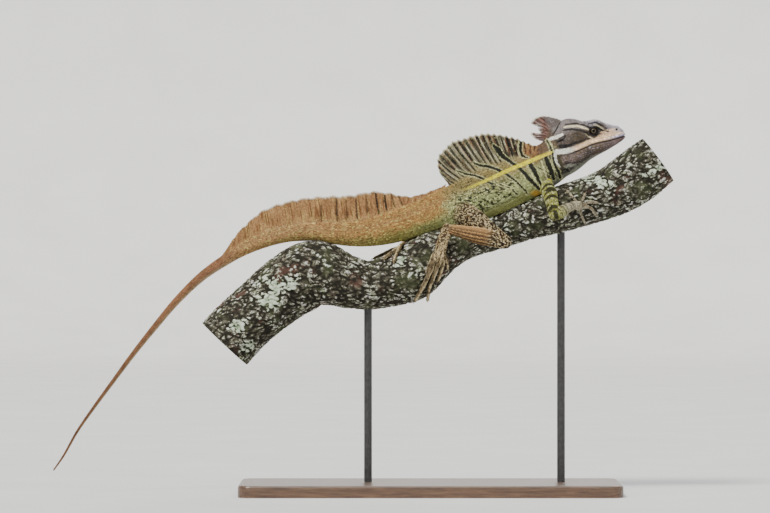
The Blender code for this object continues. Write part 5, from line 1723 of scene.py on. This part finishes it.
def buildBranch():
    rings, sides = 500, 230
    capShares = (0.04, 0.16, 0.3, 0.45, 0.62, 0.8, 0.93, 0.985)
    phi = np.linspace(-np.pi, np.pi, sides, endpoint=False)
    middle, up = branchFrame(np.linspace(0, branchRail.length, rings))
    radius = branchRadius(middle[:, None, 0], phi[None])
    flat = (middle[:, None] + up[:, None] * (radius * np.cos(phi))[..., None]
            + np.array((0.0, -1.0, 0.0)) * (radius * np.sin(phi))[..., None]).reshape(-1, 3)
    warp = (np.stack([cloudy(flat, 14, s) for s in (81, 82, 83)], -1) - 0.5) * 9
    crack = np.abs(noise((flat + warp) * np.array((0.6, 1, 1)), 4.6, 84) - 0.5) * 4
    fissure = np.abs(noise((flat + warp * 0.5) * np.array((0.7, 1, 1)), 1.9, 85) - 0.5) * 4
    ridge = smooth(0.0, 0.7, crack) * 0.5 + smooth(0.0, 0.6, fissure) * 0.25 + cloudy(flat + warp, 3.0, 86) * 0.4
    lichen = (cloudy(flat + warp * 0.8, 16, 88) - 0.5) * 0.9 + 0.28
    for (x, z), size in branchPatches:
        near = np.exp(-((flat[:, 0] - x) ** 2 + (flat[:, 2] - z) ** 2) / size ** 2) * (flat[:, 1] < 5)
        lichen = lichen + near * 0.34
    patch = smooth(0.46, 0.54, lichen)
    level, depth = branch["relief"]
    lift = (ridge - level) * depth * (1 - 0.35 * patch) + patch * 0.35 * (0.4 + noise(flat, 1.4, 89))
    away = unit(flat - np.repeat(middle, sides, 0))
    points = (flat + away * np.minimum(lift, branch["proud"])[:, None]).reshape(rings, sides, 3)
    before, after = ([middle[end] + (points[end] - middle[end]) * share for share in capShares] for end in (0, -1))
    shares = np.array((*capShares, *[1.0] * rings, *capShares[::-1]))
    corners, faces = loft(before + list(points) + after[::-1])
    obj = addMesh("perchBark", corners, faces)
    pad = len(capShares) * sides
    addNumber(obj.data, "ridge", np.pad(ridge, pad, constant_values=0.5))
    addNumber(obj.data, "lichen", np.pad(lichen, pad, constant_values=0.0))
    pith = np.where((np.arange(len(shares)) < rings)[:, None], middle[0], middle[-1])[:, None]
    away = np.linalg.norm(corners.reshape(len(shares), sides, 3) - pith, axis=-1) / branch["cutRadius"]
    addNumber(obj.data, "ringShare", np.minimum(away, 1.2).ravel())
    addNumber(obj.data, "cutEnd", (np.repeat(shares, sides) < 0.94).astype(float))
    carry(obj, looks["bark"])
    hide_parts("perch_branch")


stage = {"flat": 5.6, "bend": 1.6, "wall": 3.4}  # in metres


def buildStage():
    # A round floor that curves up into a low wall, so that it is pale from every side
    flat, bend, wall = stage["flat"], stage["bend"], stage["wall"]
    profile = [(r, 0.0) for r in (0.02, 1.0, 3.0, flat)]
    profile += [(flat + bend * math.sin(a), bend - bend * math.cos(a)) for a in np.linspace(0.1, math.pi / 2, 14)]
    profile.append((flat + bend, wall))
    turns = circle(96)
    rings = [np.stack([r * np.cos(turns), r * np.sin(turns), 0 * turns + z], -1) / mm for r, z in profile]
    points, faces = loft(rings, capped=False)
    floor = addMesh("floor", points, faces + [list(range(len(turns)))[::-1]])
    floor.data.materials.append(floorMaterial())


lights = {
    "key": {"turn": (-28, 50), "size": 0.30, "power": 4.2, "colour": (1.0, 0.97, 0.93)},
    "rim": {"turn": (165, 40), "size": 0.6, "power": 1.0, "colour": (0.96, 1.0, 0.97)},
    "fill": {"turn": (50, 22), "size": 1.0, "power": 0.45, "colour": (0.93, 0.96, 1.0)},
}
sky = {"colour": (0.86, 0.9, 0.95, 1.0), "power": 0.44}
view = {"lens": 200.0, "sensor": 36.0}


def buildLights():
    for name, facts in lights.items():
        lamp = bpy.data.lights.new(name, "SUN")
        lamp.angle, lamp.energy, lamp.color = facts["size"], facts["power"], facts["colour"]
        obj = placed(name, lamp)
        turn, height = np.radians(facts["turn"])
        away = Vector((math.sin(turn) * math.cos(height), -math.cos(turn) * math.cos(height), math.sin(height)))
        obj.location = away * 2.0
        obj.rotation_euler = (-away).to_track_quat("-Z", "Y").to_euler()
    world = bpy.data.worlds.new("studio")
    world.use_nodes = True
    background = world.node_tree.nodes["Background"]
    background.inputs["Color"].default_value = sky["colour"]
    background.inputs["Strength"].default_value = sky["power"]
    bpy.context.scene.world = world


def buildCamera():
    data = bpy.data.cameras.new("photoView")
    data.lens, data.sensor_width = view["lens"], view["sensor"]
    data.clip_end = 50.0
    wide, tall = photo["size"]
    distance = wide * mm * view["lens"] / view["sensor"]
    obj = placed("photoView", data)
    x, z = fromPhoto(((wide / 2, tall / 2),))[0]
    obj.location = (x * mm, -distance, z * mm)
    obj.rotation_euler = (math.radians(90), 0.0, 0.0)
    bpy.context.scene.camera = obj


toes = digitTubes()
looks = {
    "hide": hideMaterial("hide", 0.46, 0.8, 0.12),
    "scale": hideMaterial("scaleHorn", 0.38, 0.5, 0.05),
    "fin": hideMaterial("finSkin", 0.44, 0.7, 0.10),
    "eye": eyeMaterial(),
    "claw": clawMaterial(),
    "bark": barkMaterial(),
    "wood": woodMaterial(),
    "rod": rodMaterial(),
}

buildStage()
buildLights()
buildCamera()
buildHide()
print("stage: eyes, claws, fins")
buildEyes()
buildClaws()
buildFin("headCrest", paintCrest)
buildFin("backSail", paintBackSail)
buildFin("tailSail", paintTailSail)
print("stage: branch")
buildBranch()
for node, look in (("stand_base", "wood"), ("stand_rod_rear", "rod"), ("stand_rod_front", "rod")):
    obj = bpy.data.objects[node]
    obj.data.materials.clear()
    obj.data.materials.append(looks[look])
